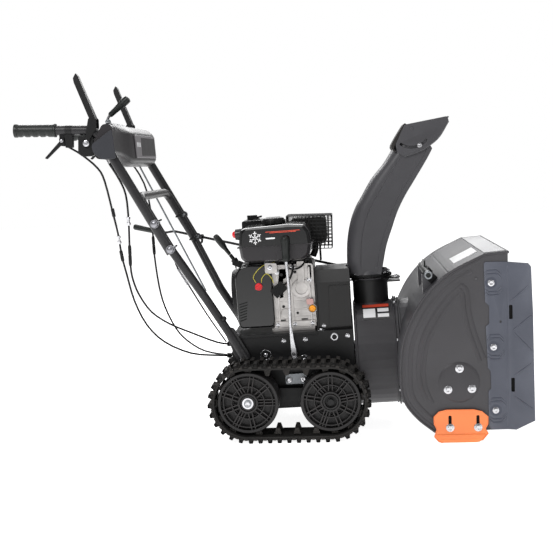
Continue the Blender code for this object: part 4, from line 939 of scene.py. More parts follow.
def shell_patch(t, y, low, high):
    a, b = shell_point(t[0], low), shell_point(t[1], low)
    c, d = shell_point(t[1], high), shell_point(t[0], high)
    return prism([tuple(a), tuple(b), tuple(c), tuple(d)], *y)


def flat_patch(x, y, low, high):
    """A thin sheet on the flat front strip of the housing's top."""
    a, b = Vector((0.6156, 0.5144)), Vector(TOP_FRONT)
    slope = (b.y - a.y) / (b.x - a.x)
    level = [a.y + (p - a.x) * slope for p in x]
    return prism([(x[0], level[0] + low), (x[1], level[1] + low), (x[1], level[1] + high),
        (x[0], level[0] + high)], *y)


piece("housing_label_side", shell_patch((0.2, 0.93), (-0.215, -0.07), 0.0002, 0.0024), WHITE, "chassis",
    bevel=0.0004)
# Painted reflection: a white sheet over the whole flat front strip of the top stands for the overhead light
# mirrored in it.
piece("housing_top_reflection", flat_patch((0.619, 0.6775), (-0.29, 0.295), 0.0002, 0.0022), WHITE, "chassis",
    bevel=0.0004)

# Auger, impeller and shafts
paint("auger_shaft", GALVANISED)
paint("impeller_shaft", GALVANISED)
paint("impeller", IRON, 0.001)


def ribbon():
    """One auger's double ribbon of toothed blade, its arms and its tube, on the near side."""
    near, far = -0.062, -0.304
    steps = 110
    shapes = []
    for phase in (0.0, pi):
        blade = bmesh.new()
        rings = []
        for k in range(steps + 1):
            t = k / steps
            angle = 2 * pi * 1.15 * t + phase
            y = near + (far - near) * t
            outer = 0.1315 if k % 4 < 2 else 0.127
            ring = []
            for radius, shift in ((0.099, -0.0018), (outer, -0.0018), (outer, 0.0018), (0.099, 0.0018)):
                ring.append(blade.verts.new((AUGER.x + radius * cos(angle), y + shift,
                    AUGER.z + radius * sin(angle))))
            rings.append(ring)
        for a, b in zip(rings, rings[1:]):
            for i in range(4):
                j = (i + 1) % 4
                blade.faces.new((a[i], a[j], b[j], b[i]))
        blade.faces.new(rings[0])
        blade.faces.new(list(reversed(rings[-1])))
        bmesh.ops.recalc_face_normals(blade, faces=blade.faces)
        shapes.append(blade)
        for t in (0.06, 0.5, 0.94):
            angle = 2 * pi * 1.15 * t + phase
            y = near + (far - near) * t
            out = Vector((cos(angle), 0.0, sin(angle)))
            base = Vector((AUGER.x, y, AUGER.z))
            shapes.append(pipe([base + out * 0.016, base + out * 0.11], 0.0065, 12, 0.45))
    shapes.append(disc(0.018, -0.312, -0.052, (AUGER.x, 0, AUGER.z), steps=28, bore=0.0131))
    shapes.append(rod((AUGER.x, -0.075, AUGER.z - 0.026), (AUGER.x, -0.075, AUGER.z + 0.026), 0.0042, 12))
    return merged(*shapes)


for side, name in ((-1, "right"), (1, "left")):
    piece(name + "_auger_blades", near_or_far(side, ribbon()), FRAME_BLACK, "auger_drive",
        [name + "_auger"], bevel=0.0006, segments=1)
case = [
    bolt((AUGER.x + 0.041 * cos(radians(a)), s * 0.0262, AUGER.z + 0.041 * sin(radians(a))), (0, s, 0),
    0.0042)
    for s in (-1, 1) for a in (45, 135, 225, 315)
]
piece("gearbox_bolts", merged(*case), ZINC, "chassis", bevel=0.0003, segments=1)
vanes = []
for k in range(4):
    tip = prism([(-0.002, 0.098), (0.0115, 0.145), (0.0085, 0.149), (-0.005, 0.105)], 0.262, 0.332, "X")
    turn = Matrix.Translation(IMPELLER) @ Matrix.Rotation(radians(20 - 90 + 90 * k), 4, "X")
    bmesh.ops.transform(tip, matrix=turn, verts=tip.verts)
    vanes.append(tip)
piece("impeller_tips", merged(*vanes), IRON, "impeller_drive", bevel=0.0008)


# The collar under the chute is a black sleeve above the drum
sleeve = turned([(0.0522, -0.076), (0.0545, -0.076), (0.0545, -0.0075), (0.0522, -0.0075)], CHUTE,
    (0, 0, 1), 64)
piece("collar_sleeve", less(sleeve, disc(DRUM + 0.001, 0.23, 0.38, IMPELLER, "X", 72)), FRAME_BLACK,
    "chassis")


# Chute, its ring, clamps and deflector
CHUTE_BACK = [
    (0.229, 0.447), (0.2286, 0.4761), (0.233, 0.5441), (0.2453, 0.6043), (0.2653, 0.6537),
    (0.2878, 0.6893), (0.3212, 0.7407), (0.3608, 0.7848), (0.396, 0.836), (0.43, 0.887),
]
CHUTE_FRONT = [
    (0.333, 0.447), (0.3407, 0.4845), (0.3538, 0.5371), (0.374, 0.59), (0.3929, 0.6375),
    (0.418, 0.683), (0.4474, 0.7262), (0.5011, 0.8076), (0.5023, 0.8304), (0.4585, 0.8915),
]


def smooth_pairs(points, per=4):
    return [(p.x, p.z) for p in smooth_path([(x, 0.0, z) for x, z in points], per)]


BACK, FRONT = smooth_pairs(CHUTE_BACK), smooth_pairs(CHUTE_FRONT)


def chute_ring(i, depth):
    """A U section of the chute: front edge on the near side, round the back, to the far side."""
    share = min(1.0, i / (len(BACK) - 9))
    half = 0.056 + 0.008 * share - depth
    start, end = Vector((BACK[i][0], 0, BACK[i][1])), Vector((FRONT[i][0], 0, FRONT[i][1]))
    run = (end - start).normalized()
    length = (end - start).length
    corner = min(0.04, 0.8 * length) - depth
    side = [(length, half)]
    for k in range(9):
        angle = pi / 2 * k / 8
        side.append((depth + corner - corner * sin(angle), half - corner + corner * cos(angle)))
    ring = [start + run * d + Vector((0, -w, 0)) for d, w in side]
    return ring + [start + run * d + Vector((0, w, 0)) for d, w in reversed(side)]


def chute_shell():
    shape = bmesh.new()
    count = len(BACK)
    outer = [[shape.verts.new(p) for p in chute_ring(i, 0.0)] for i in range(count)]
    inner = [[shape.verts.new(p) for p in chute_ring(i, 0.0022)] for i in range(count)]
    last = len(outer[0]) - 1
    for a, b in zip(outer, outer[1:]):
        for i in range(last):
            shape.faces.new((a[i], a[i + 1], b[i + 1], b[i]))
    for a, b in zip(inner, inner[1:]):
        for i in range(last):
            shape.faces.new((a[i], b[i], b[i + 1], a[i + 1]))
    for i in (0, last):
        for a, b, c, d in zip(outer, outer[1:], inner, inner[1:]):
            shape.faces.new((a[i], b[i], d[i], c[i]))
    for a, b in ((outer[0], inner[0]), (outer[-1], inner[-1])):
        for i in range(last):
            shape.faces.new((a[i], a[i + 1], b[i + 1], b[i]))
    bmesh.ops.recalc_face_normals(shape, faces=shape.faces)
    return shape


def chute_lips():
    """The folded front edges: a flat band standing out from each side wall, with a rolled bead."""
    shapes = []
    for side in (-1, 1):
        band_mesh = bmesh.new()
        rings = []
        for i in range(0, len(BACK)):
            half = 0.056 + 0.008 * min(1.0, i / (len(BACK) - 9))
            start, end = Vector((BACK[i][0], 0, BACK[i][1])), Vector((FRONT[i][0], 0, FRONT[i][1]))
            run = (end - start).normalized()
            ring = []
            for back, out in ((0.0175, 0.0002), (0.0165, 0.0014), (0.0012, 0.0014), (-0.0006, -0.001),
                (0.001, -0.0024), (0.0165, -0.0024)):
                ring.append(band_mesh.verts.new(end - run * back + Vector((0, side * (half + out), 0))))
            rings.append(ring)
        for a, b in zip(rings, rings[1:]):
            for k in range(6):
                m = (k + 1) % 6
                band_mesh.faces.new((a[k], a[m], b[m], b[k]))
        band_mesh.faces.new(rings[0])
        band_mesh.faces.new(list(reversed(rings[-1])))
        bmesh.ops.recalc_face_normals(band_mesh, faces=band_mesh.faces)
        shapes.append(band_mesh)
        line = []
        for i in range(3, len(BACK) - 3):
            half = 0.056 + 0.008 * min(1.0, i / (len(BACK) - 9))
            start, end = Vector((BACK[i][0], 0, BACK[i][1])), Vector((FRONT[i][0], 0, FRONT[i][1]))
            run = (end - start).normalized()
            line.append(start + run * min(0.043, 0.42 * (end - start).length) + Vector((0,
                side * (half - 0.0001), 0)))
        shapes.append(pipe(line, 0.0014, 8))
    return merged(*shapes)


piece("chute_body", chute_shell(), CHUTE_PAINT, "chute", ["discharge_chute"], bevel=0.0005, angle=50)
piece("chute_edges", chute_lips(), CHUTE_PAINT, "chute", bevel=0.0003, segments=1)
teeth = [(r, h) for r, h in ((0.0505, 0.001), (0.064, 0.001), (0.066, 0.003), (0.066, 0.0085),
    (0.0645, 0.011), (0.0505, 0.011))]
base_ring = [turned(teeth, CHUTE, (0, 0, 1), 72)]
for k in range(48):
    angle = 2 * pi * k / 48
    tooth = block((0.064, 0.0685), (-0.0019, 0.0019), (0.002, 0.0095))
    bmesh.ops.transform(tooth, matrix=Matrix.Translation(CHUTE) @ Matrix.Rotation(angle, 4, "Z"),
        verts=tooth.verts)
    base_ring.append(tooth)
piece("chute_gear_ring", merged(*base_ring), MOULDED, "chute", bevel=0.0005, segments=1)
collar = turned([(0.0545, 0.011), (0.06, 0.0112), (0.0585, 0.016), (0.056, 0.024), (0.0545, 0.024)],
    CHUTE, (0, 0, 1), 64)
piece("chute_foot", collar, CHUTE_PAINT, "chute")
clamps, clamp_bolts = [], []
for angle in (-38, 38, 142, 218):
    place = Matrix.Translation(CHUTE) @ Matrix.Rotation(radians(angle), 4, "Z")
    clamp = prism(rounded([(0.052, -0.017), (0.0715, -0.017), (0.0715, 0.017), (0.052, 0.017)], 0.005),
        0.0115, 0.0145, "Z")
    low = prism(rounded([(0.052, -0.017), (0.0715, -0.017), (0.0715, 0.017), (0.052, 0.017)], 0.005),
        -0.006, -0.0025, "Z")
    for shape in (clamp, low):
        bmesh.ops.transform(shape, matrix=place, verts=shape.verts)
        clamps.append(shape)
    for shift in (-0.01, 0.01):
        head = bolt((0.0655, shift, 0.0145), (0, 0, 1), 0.0042)
        bmesh.ops.transform(head, matrix=place, verts=head.verts)
        clamp_bolts.append(head)
piece("chute_clamps", merged(*clamps[::2]), FRAME_BLACK, "chute", bevel=0.0005, segments=1)
piece("collar_clamps", merged(*clamps[1::2]), FRAME_BLACK, "chassis", bevel=0.0005, segments=1)
piece("chute_clamp_bolts", merged(*clamp_bolts), ZINC, "chute", bevel=0.0003, segments=1)
tab = prism(rounded([(0.348, -0.04), (0.39, -0.034), (0.39, 0.022), (0.352, 0.03)], 0.006), 0.431, 0.4345,
    "Z")
piece("collar_tab", tab, FRAME_BLACK, "chassis", bevel=0.0006)
piece("collar_tab_bolts",
    merged(*[bolt((x, y, 0.4346), (0, 0, 1), 0.0046) for x, y in ((0.379, -0.022), (0.379, 0.01))]), ZINC,
    "chassis", bevel=0.0003, segments=1)


def arc_slot(centre, radius, width, start, end, steps=14):
    outline = []
    for size, order in ((radius - width / 2, range(steps + 1)),
        (radius + width / 2, range(steps, -1, -1))):
        for k in order:
            angle = radians(start + (end - start) * k / steps)
            outline.append((centre.x + size * cos(angle), centre.z + size * sin(angle)))
    return prism(outline, -0.1, 0.1)


def deflector():
    """The hinged cap on the chute, open in front, with a slot in each side for the locking bolt."""
    outer = [
        (0.433, 0.8975), (0.4522, 0.9), (0.5585, 0.9133), (0.5622, 0.8958), (0.5326, 0.8542),
        (0.5054, 0.8317), (0.4701, 0.8131), (0.422, 0.8008), (0.4032, 0.8146), (0.398, 0.8379),
        (0.4278, 0.896),
    ]
    hollow = [
        (0.37, 0.92), (0.4522, 0.92), (0.4522, 0.8972), (0.5585, 0.9105), (0.595, 0.9), (0.595, 0.78),
        (0.37, 0.78),
    ]
    radius = (CHUTE_BOLT - HINGE).length
    return less(
        prism(rounded(outer, 0.006), -0.0695, 0.0695),
        prism(hollow, -0.0672, 0.0672),
        arc_slot(HINGE, radius, 0.0078, -130.0, -39.0),
    )


piece("deflector_cap", deflector(), CHUTE_PAINT, "deflector", ["chute_deflector"], bevel=0.0008)
front_lip = [(0.56, -0.069, 0.9105), (0.56, 0.069, 0.9105)]
edges = [pipe(front_lip, 0.0026, 12)]
rim = [(0.5612, 0.8975), (0.5326, 0.855), (0.5054, 0.8325), (0.4701, 0.8139), (0.424, 0.8018)]
for side in (-1, 1):
    edges.append(pipe(smooth_path([(x, side * 0.0692, z) for x, z in rim], 6), 0.0017, 8))
piece("deflector_edges", merged(*edges), CHUTE_PAINT, "deflector")
FLAP = [(0.43, 0.9012), (0.4215, 0.8925), (0.3868, 0.8395), (0.3905, 0.8205)]
flap_path = smooth_pairs(FLAP, 4)
skin = flap_path + [(x + 0.002, z - 0.0012) for x, z in reversed(flap_path)]
skirt = flap_path + [(x + 0.0085, z - 0.005) for x, z in reversed(flap_path)]
flap_shape = merged(prism(skin, -0.0665, 0.0665), prism(skirt, -0.0668, -0.065),
    prism(skirt, 0.065, 0.0668))
bmesh.ops.transform(flap_shape, matrix=MACHINE, verts=flap_shape.verts)
flap_mesh = bpy.data.meshes.new("deflector_flap")
flap_shape.to_mesh(flap_mesh)
flap_shape.free()
flap = bpy.data.objects.new("deflector_flap", flap_mesh)
bpy.context.collection.objects.link(flap)
flap_mesh.materials.append(RUBBER)
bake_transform(flap)
piece("deflector_hinge",
    merged(*[bolt((HINGE.x, s * 0.0697, HINGE.z), (0, s, 0), 0.004, 1.3) for s in (-1, 1)]), CHUTE_PAINT,
    "deflector", bevel=0.0003, segments=1)
knobs = [merged(disc(0.0075, 0.07, 0.0712, (CHUTE_BOLT.x, 0, CHUTE_BOLT.z), steps=32),
    bolt((CHUTE_BOLT.x, 0.0712, CHUTE_BOLT.z), (0, 1, 0), 0.0046, 1.1))]
knobs.append(mirrored(knobs[0].copy()))
piece("deflector_lock_bolts", merged(*knobs), ZINC, "chute", bevel=0.0003, segments=1)
side_bolts = [bolt((0.32, s * 0.0562, 0.469), (0, s, 0), 0.0042) for s in (-1, 1)]
piece("chute_rivets", merged(*side_bolts), CHUTE_PAINT, "chute", bevel=0.0003, segments=1)


# Engine: crankcase, cylinder, blower, recoil starter and its grip
paint("crankcase", ALLOY, 0.002)
paint("blower_housing", GLOSS, 0.003)
cast, hole_shade = [], []
for z in (0.338, 0.362, 0.386):
    cast.append(block((0.004, 0.12), (-0.1052, -0.103), (z - 0.0022, z + 0.0022)))
for x in (0.014, 0.056, 0.112):
    cast.append(block((x - 0.003, x + 0.003), (-0.1075, -0.103), (0.315, 0.49)))
bearing = [(0, 0), (0.03, 0), (0.029, 0.005), (0.018, 0.006), (0.018, 0.002), (0, 0.002)]
cast.append(turned(bearing, (0.086, -0.1035, 0.425), (0, -1, 0), 40))
cast.append(turned([(0, 0), (0.016, 0), (0.015, 0.006), (0.0, 0.006)], (0.034, -0.1035, 0.35), (0, -1, 0),
    32))
cast.append(prism(rounded([(-0.02, 0.477), (0.017, 0.477), (0.017, 0.508), (-0.02, 0.511)], 0.006), -0.12,
    -0.102))
cast.append(prism(rounded([(0.077, 0.445), (0.097, 0.445), (0.099, 0.509), (0.077, 0.509)], 0.004),
    -0.113, -0.102))
cast.append(prism(rounded([(-0.004, 0.308), (0.126, 0.308), (0.122, 0.326), (0.002, 0.326)], 0.003),
    -0.1115, -0.102))
# Painted shade: flat dark discs and patches on the crankcase face stand for the shade in its holes, slots
# and pockets.
for x, z, size in ((0.028, 0.372, 0.0045), (0.07, 0.35, 0.004), (0.028, 0.47, 0.005),
    (0.07, 0.476, 0.0045)):
    hole_shade.append(disc(size, -0.106, -0.1034, (x, 0, z), steps=24))
for x, z in ((0.0225, 0.33), (0.09, 0.33)):
    hole_shade.append(prism(rounded([(x - 0.01, z - 0.002), (x + 0.01, z - 0.002), (x + 0.01, z + 0.002),
        (x - 0.01, z + 0.002)], 0.0015), -0.106, -0.1034))
gap = rounded([(0.018, 0.397), (0.03, 0.4), (0.033, 0.456), (0.048, 0.462), (0.048, 0.488),
    (0.022, 0.488), (0.016, 0.44)], 0.004)
hole_shade.append(prism(gap, -0.104, -0.1032))
hole_shade.append(prism(rounded([(0.108, 0.455), (0.12, 0.455), (0.12, 0.495), (0.108, 0.495)], 0.004), -0.104,
    -0.1032))
for row in range(9):
    low = 0.406 + row * 0.0115
    cast.append(prism(rounded([(0.002, low), (0.116, low), (0.116, low + 0.003), (0.002, low + 0.003)],
        0.001), 0.096, 0.152))
piece("crankcase_pocket_shade", merged(*hole_shade), IRON, "chassis", bevel=0.0005, segments=1)
piece("crankcase_ribs", merged(*cast), ALLOY, "chassis", bevel=0.0008)
feet = [bolt((x, s * 0.106, 0.3076), (0, 0, 1), 0.0058) for x in (0.004, 0.108) for s in (-1, 1)]
feet += [bolt((x, -0.1052, z), (0, -1, 0), 0.0052)
    for x, z in ((0.014, 0.41), (0.112, 0.45), (0.112, 0.39), (0.064, 0.492))]
feet += [bolt((x, -0.1118, 0.317), (0, -1, 0), 0.0042) for x in (0.008, 0.06, 0.114)]
feet.append(bolt((-0.004, -0.1202, 0.496), (0, -1, 0), 0.0052))
piece("engine_bolts", merged(*feet), ZINC, "chassis", bevel=0.0003, segments=1)
drain = merged(rod((0.108, -0.09, 0.383), (0.111, -0.117, 0.3845), 0.0085, 20),
    prism(rounded([(0.1, 0.376), (0.121, 0.376), (0.121, 0.393), (0.1, 0.393)], 0.003), -0.124, -0.1165))
piece("oil_drain", drain, PINK, "chassis", bevel=0.0008)
neck = turned([(0.01, -0.003), (0.014, -0.003), (0.014, 0.0045), (0.0118, 0.0045), (0.01, 0.001)],
    (0.1162, -0.12, 0.3635), (0.14, -1.0, 0.08), 28)
piece("oil_neck", neck, ALLOY, "chassis", bevel=0.0004)
OIL = Vector((0.1162, -0.1219, 0.3635))
OIL_AXIS = Vector((0.0014, -0.01, 0.0008)).normalized()
cap_parts = [turned([(0, 0.0002), (0.0098, 0.0002), (0.0098, 0.0075), (0.0085, 0.009), (0, 0.009)], OIL,
    OIL_AXIS, 32)]
wing = block((-0.0085, 0.0085), (-0.0022, 0.0022), (0.008, 0.0135))
turn = Matrix.Translation(OIL) @ Vector((0, 0,
    1)).rotation_difference(OIL_AXIS).to_matrix().to_4x4() @ Matrix.Rotation(radians(35), 4, "Z")
bmesh.ops.transform(wing, matrix=turn, verts=wing.verts)
piece("oil_filler_cap", merged(*cap_parts, wing), YELLOW, "filler_cap", ["oil_cap"], bevel=0.0007)

# Recoil cover: a shallow drum at the engine's rear with slanted louvres
RECOIL = Vector((0.0, 0.0, 0.409))
cover = [
    turned([(0.0, -0.0928), (0.085, -0.0928), (0.085, -0.105), (0.083, -0.11), (0.0795, -0.1135),
    (0.076, -0.1285), (0.0735, -0.13), (0.0, -0.13)], RECOIL, (1, 0, 0), 72),
    turned([(0.033, -0.129), (0.035, -0.133), (0.03, -0.1338), (0.0, -0.1338), (0.0, -0.129)], RECOIL,
    (1, 0, 0), 48),
    turned([(0.07, -0.129), (0.072, -0.1325), (0.068, -0.1325), (0.067, -0.129)], RECOIL, (1, 0, 0), 64),
]
for k in range(18):
    angle = 2 * pi * k / 18
    louvre = prism([(-0.0036, 0.04), (0.0036, 0.04), (0.0046, 0.064), (-0.0046, 0.064)], -0.1334, -0.1295,
        "X")
    bmesh.ops.transform(louvre, matrix=Matrix.Translation(RECOIL) @ Matrix.Rotation(angle, 4, "X"),
        verts=louvre.verts)
    cover.append(louvre)
for k in range(26):
    angle = 2 * pi * k / 26
    slat = prism([(-0.1085, 0.0838), (-0.095, 0.0838), (-0.095, 0.0868), (-0.1085, 0.0862)], -0.0028,
        0.0028)
    bmesh.ops.transform(slat, matrix=Matrix.Translation(RECOIL) @ Matrix.Rotation(angle, 4, "X"),
        verts=slat.verts)
    cover.append(slat)
piece("starter_cover", merged(*cover), MOULDED, "chassis", ["recoil_cover"], bevel=0.0007)
piece("starter_cover_bolts",
    merged(*[bolt((-0.1112, 0.0795 * cos(radians(a)), 0.409 + 0.0795 * sin(radians(a))), (-1, 0, 0),
    0.004) for a in (35, 125, 215, 305)]), ZINC, "chassis", bevel=0.0003, segments=1)
PULL_FROM, PULL_TO = Vector((-0.1345, -0.02, 0.536)), Vector((-0.1783, -0.02, 0.6006))
PULL_WAY = (PULL_TO - PULL_FROM).normalized()
grip_shape = [
    (0.0, 0.0), (0.0058, 0.0), (0.0062, 0.01), (0.0068, 0.022), (0.0084, 0.028), (0.0096, 0.034),
    (0.0102, 0.046), (0.0104, 0.058),
    (0.0098, 0.068), (0.0074, 0.0755), (0.0, 0.0785),
]
handle = turned(grip_shape, PULL_FROM, PULL_WAY, 32)
bmesh.ops.scale(handle, vec=(1, 1.3, 1), space=Matrix.Translation((0, 0.02, 0)), verts=handle.verts)
piece("starter_grip_body", handle, GRIP, "starter_grip", ["starter_handle"], bevel=0.0004)
piece("starter_rope", pipe(smooth_path([(-0.118, -0.02, 0.49), (-0.123, -0.02, 0.512),
    tuple(PULL_FROM + PULL_WAY * 0.001)], 6), 0.0022, 10), LABEL, "chassis")
eyelet = turned([(0.0032, -0.026), (0.0062, -0.026), (0.0058, -0.001), (0.0032, -0.001)], PULL_FROM,
    PULL_WAY, 24)
collar = turned([(0.0032, -0.03), (0.0105, -0.03), (0.0105, -0.02), (0.0085, -0.018), (0.0032, -0.018)],
    PULL_FROM, PULL_WAY, 24)
arm = prism(rounded([(-0.13, 0.504), (-0.1, 0.49), (-0.09, 0.49), (-0.09, 0.506), (-0.106, 0.514),
    (-0.124, 0.518)], 0.004), -0.03, -0.01)
piece("rope_guide", merged(eyelet, collar, arm), MOULDED, "chassis", bevel=0.0004)

# Near side of the engine: rotary switch, module, bracket, wires
SWITCH = Vector((-0.0422, -0.1153, 0.4392))
face = [
    turned([(0.0165, -0.0115), (0.0165, 0.0), (0.0145, 0.0012), (0.0, 0.0012), (0.0, -0.0115)], SWITCH,
    (0, -1, 0), 36),
    turned([(0.019, -0.012), (0.019, -0.006), (0.0165, -0.005), (0.0165, -0.012)], SWITCH, (0, -1, 0),
    36),
]
marks = [disc(0.0016, -0.1168, -0.116, (SWITCH.x + 0.014 * cos(radians(a)), 0,
    SWITCH.z + 0.014 * sin(radians(a))), steps=10) for a in (50, 130, 230)]
piece("switch_marks", merged(*marks), WHITE, "chassis")
piece("switch_housing", merged(*face), MOULDED, "chassis", bevel=0.0005)
knob = [turned([(0, 0.0015), (0.0115, 0.0015), (0.0115, 0.0045), (0.01, 0.006), (0, 0.006)], SWITCH,
    (0, -1, 0), 32)]
bar = prism(rounded([(-0.0115, -0.0028), (0.0115, -0.0022), (0.0115, 0.0022), (-0.0115, 0.0028)], 0.001),
    -0.0125, -0.005)
bmesh.ops.transform(bar, matrix=Matrix.Translation(SWITCH) @ Matrix.Rotation(radians(-35), 4, "Y"),
    verts=bar.verts)
piece("switch_knob", merged(*knob, bar), RED, "ignition", ["ignition_knob"], bevel=0.0008)
shroud_side = rounded([(-0.112, 0.313), (-0.006, 0.313), (0.0, 0.33), (0.0, 0.503), (-0.07, 0.508),
    (-0.1, 0.5), (-0.114, 0.475)], 0.018, 6)
piece("side_shroud", prism(shroud_side, -0.118, -0.1), GLOSS, "chassis", bevel=0.006, segments=4)
slats = []
for k in range(7):
    z = 0.335 + k * 0.0085
    slats.append(prism(rounded([(-0.106, z), (-0.086 + k * 0.001, z + 0.0065),
        (-0.086 + k * 0.001, z + 0.01), (-0.106, z + 0.0035)], 0.0012), -0.1196, -0.117))
piece("side_shroud_slats", merged(*slats), MOULDED, "chassis", bevel=0.0004, segments=1)
top_shape = rounded([(-0.115, -0.006), (-0.105, -0.0026), (0.105, -0.0026), (0.115, -0.006),
    (0.115, -0.08), (0.1, -0.0925), (-0.1, -0.0925), (-0.115, -0.08)], 0.008)
piece("shroud_top", prism([(y, x) for y, x in top_shape] and [(x, y) for y, x in top_shape], 0.504,
    0.5092, "Z"), GLOSS, "chassis", bevel=0.003, segments=3)
module = [prism(rounded([(-0.022, -0.016), (0.022, -0.016), (0.022, 0.016), (-0.022, 0.016)], 0.003),
    -0.011, 0.011)]
module += [block((-0.02, 0.02), (-0.0128, -0.0105), (z - 0.0012, z + 0.0012))
    for z in (-0.0105, -0.0055, 0.0, 0.0055, 0.0105)]
module = merged(*module)
bmesh.ops.transform(module,
    matrix=Matrix.Translation((0.0185, -0.1145, 0.4265)) @ Matrix.Rotation(radians(-40), 4, "Y"),
    verts=module.verts)
piece("spark_module", module, MOULDED, "chassis", bevel=0.0006)
strap = prism(rounded([(-0.0225, 0.512), (-0.006, 0.512), (0.0215, 0.479), (0.015, 0.472),
    (-0.012, 0.496), (-0.0225, 0.496)], 0.003), -0.112, -0.1085)
piece("engine_strap", strap, GALVANISED, "chassis", bevel=0.0008)
piece("engine_strap_bolts", merged(bolt((-0.015, -0.1121, 0.504), (0, -1, 0), 0.005),
    bolt((0.015, -0.1121, 0.479), (0, -1, 0), 0.0045)), ZINC, "chassis", bevel=0.0003, segments=1)
wires = [
    [(-0.05, -0.118, 0.452), (-0.056, -0.124, 0.47), (-0.042, -0.124, 0.49), (-0.02, -0.118, 0.505),
    (0.01, -0.112, 0.51)],
    [(-0.033, -0.118, 0.452), (-0.03, -0.124, 0.466), (-0.016, -0.122, 0.478), (-0.002, -0.117, 0.464),
    (0.004, -0.12, 0.448)],
]
piece("switch_wires", merged(*[pipe(smooth_path(route, 8), 0.0012, 8) for route in wires]), WIRE,
    "chassis")
piece("spark_lead", pipe(smooth_path([(0.031, -0.118, 0.438), (0.048, -0.126, 0.45),
    (0.062, -0.124, 0.475), (0.066, -0.112, 0.496), (0.056, -0.1, 0.51)], 8), 0.003, 12), MOULDED,
    "chassis")
piece("breather_pipe", merged(pipe(smooth_path([(0.118, -0.088, 0.398), (0.12, -0.092, 0.43),
    (0.119, -0.092, 0.48), (0.113, -0.086, 0.513)], 8), 0.0085, 18),
    disc(0.011, 0.4, 0.408, (0.118, -0.09, 0), "Z", 24)), MOULDED, "chassis", bevel=0.0004)
piece("fuel_line", pipe(smooth_path([(0.04, -0.12, 0.515), (0.046, -0.126, 0.498), (0.062, -0.128, 0.488),
    (0.086, -0.122, 0.49), (0.099, -0.112, 0.502), (0.1, -0.105, 0.515)], 8), 0.0028, 10), MOULDED,
    "chassis")

# Fuel tank with a seam flange, cap, primer and a plain badge
TANK_Y = (-0.15, 0.046)
side_outline = rounded([
    (-0.088, 0.527), (-0.0741, 0.5175), (0.0993, 0.515), (0.1205, 0.529), (0.1272, 0.563),
    (0.1232, 0.601), (0.109, 0.6205), (0.0604, 0.6254), (-0.076, 0.6205), (-0.0875, 0.609),
    (-0.0925, 0.564),
], 0.008, 5)


def tank_half(upper):
    shape = bmesh.new()
    layers = []
    middle = sum(TANK_Y) / 2
    half = (TANK_Y[1] - TANK_Y[0]) / 2
    for k in range(33):
        t = -1 + 2 * k / 32
        y = middle + half * t
        shrink = 0.01 * max(0.0, abs(t) - 0.84) ** 2 / 0.16**2
        ring = []
        for x, z in side_outline:
            cx, cz = 0.017, 0.566
            run = hypot(x - cx, z - cz)
            ring.append(shape.verts.new((x - (x - cx) / run * shrink, y, z - (z - cz) / run * shrink)))
        layers.append(ring)
    count = len(side_outline)
    for a, b in zip(layers, layers[1:]):
        for i in range(count):
            j = (i + 1) % count
            shape.faces.new((a[i], a[j], b[j], b[i]))
    shape.faces.new(layers[0])
    shape.faces.new(list(reversed(layers[-1])))
    bmesh.ops.recalc_face_normals(shape, faces=shape.faces)
    low, high = (0.5645, 0.7) if upper else (0.4, 0.5615)
    return less(shape, block((-0.3, 0.3), (-0.3, 0.3), (0.3, low) if upper else (high, 0.8)))


tank_top = merged(tank_half(True), turned([(0.0, 0.615), (0.029, 0.615), (0.0275, 0.6242), (0.0, 0.6242)],
    (0.0125, -0.06, 0), (0, 0, 1), 40))
piece("tank_upper", tank_top, GLOSS, "chassis", ["fuel_tank"], bevel=0.0012, angle=50)
piece("tank_lower", tank_half(False), TANK_LOW, "chassis", bevel=0.0012, angle=50)
flange = prism(rounded([(-0.0975, -0.152), (0.131, -0.152), (0.131, 0.0475), (-0.0975, 0.0475)], 0.01, 5),
    0.5615, 0.5645, "Z")
piece("tank_seam", flange, TANK_LOW, "chassis", bevel=0.0006)
CAP = Vector((0.0125, -0.06, 0.0))
cap_profile = [(0.0, 0.6242), (0.0345, 0.6242), (0.0358, 0.6262), (0.035, 0.635), (0.0315, 0.642),
    (0.02, 0.6458), (0.0, 0.6465)]
cap = [turned(cap_profile, CAP, (0, 0, 1), 72)]
for k in range(30):
    tooth = block((0.0335, 0.0372), (-0.0016, 0.0016), (0.6258, 0.6365))
    bmesh.ops.transform(tooth, matrix=Matrix.Translation(CAP) @ Matrix.Rotation(2 * pi * k / 30, 4, "Z"),
        verts=tooth.verts)
    cap.append(tooth)
piece("fuel_cap_body", merged(*cap), MOULDED, "tank_cap", ["fuel_cap"], bevel=0.0006)
boss = turned([(0.0122, -0.1075), (0.0165, -0.1065), (0.018, -0.096), (0.018, -0.085), (0.0122, -0.085)],
    (0.0, -0.075, 0.6), (1, 0, 0), 36)
piece("primer_collar", boss, TANK_LOW, "chassis", bevel=0.0005)
bulb = [(0.0, -0.1035), (0.0114, -0.1035), (0.0114, -0.108), (0.01, -0.1118), (0.0072, -0.1148),
    (0.0036, -0.1162), (0.0, -0.1166)]
piece("primer_button", turned(bulb, (0.0, -0.075, 0.6), (1, 0, 0), 32), RED, "primer", ["primer_bulb"])


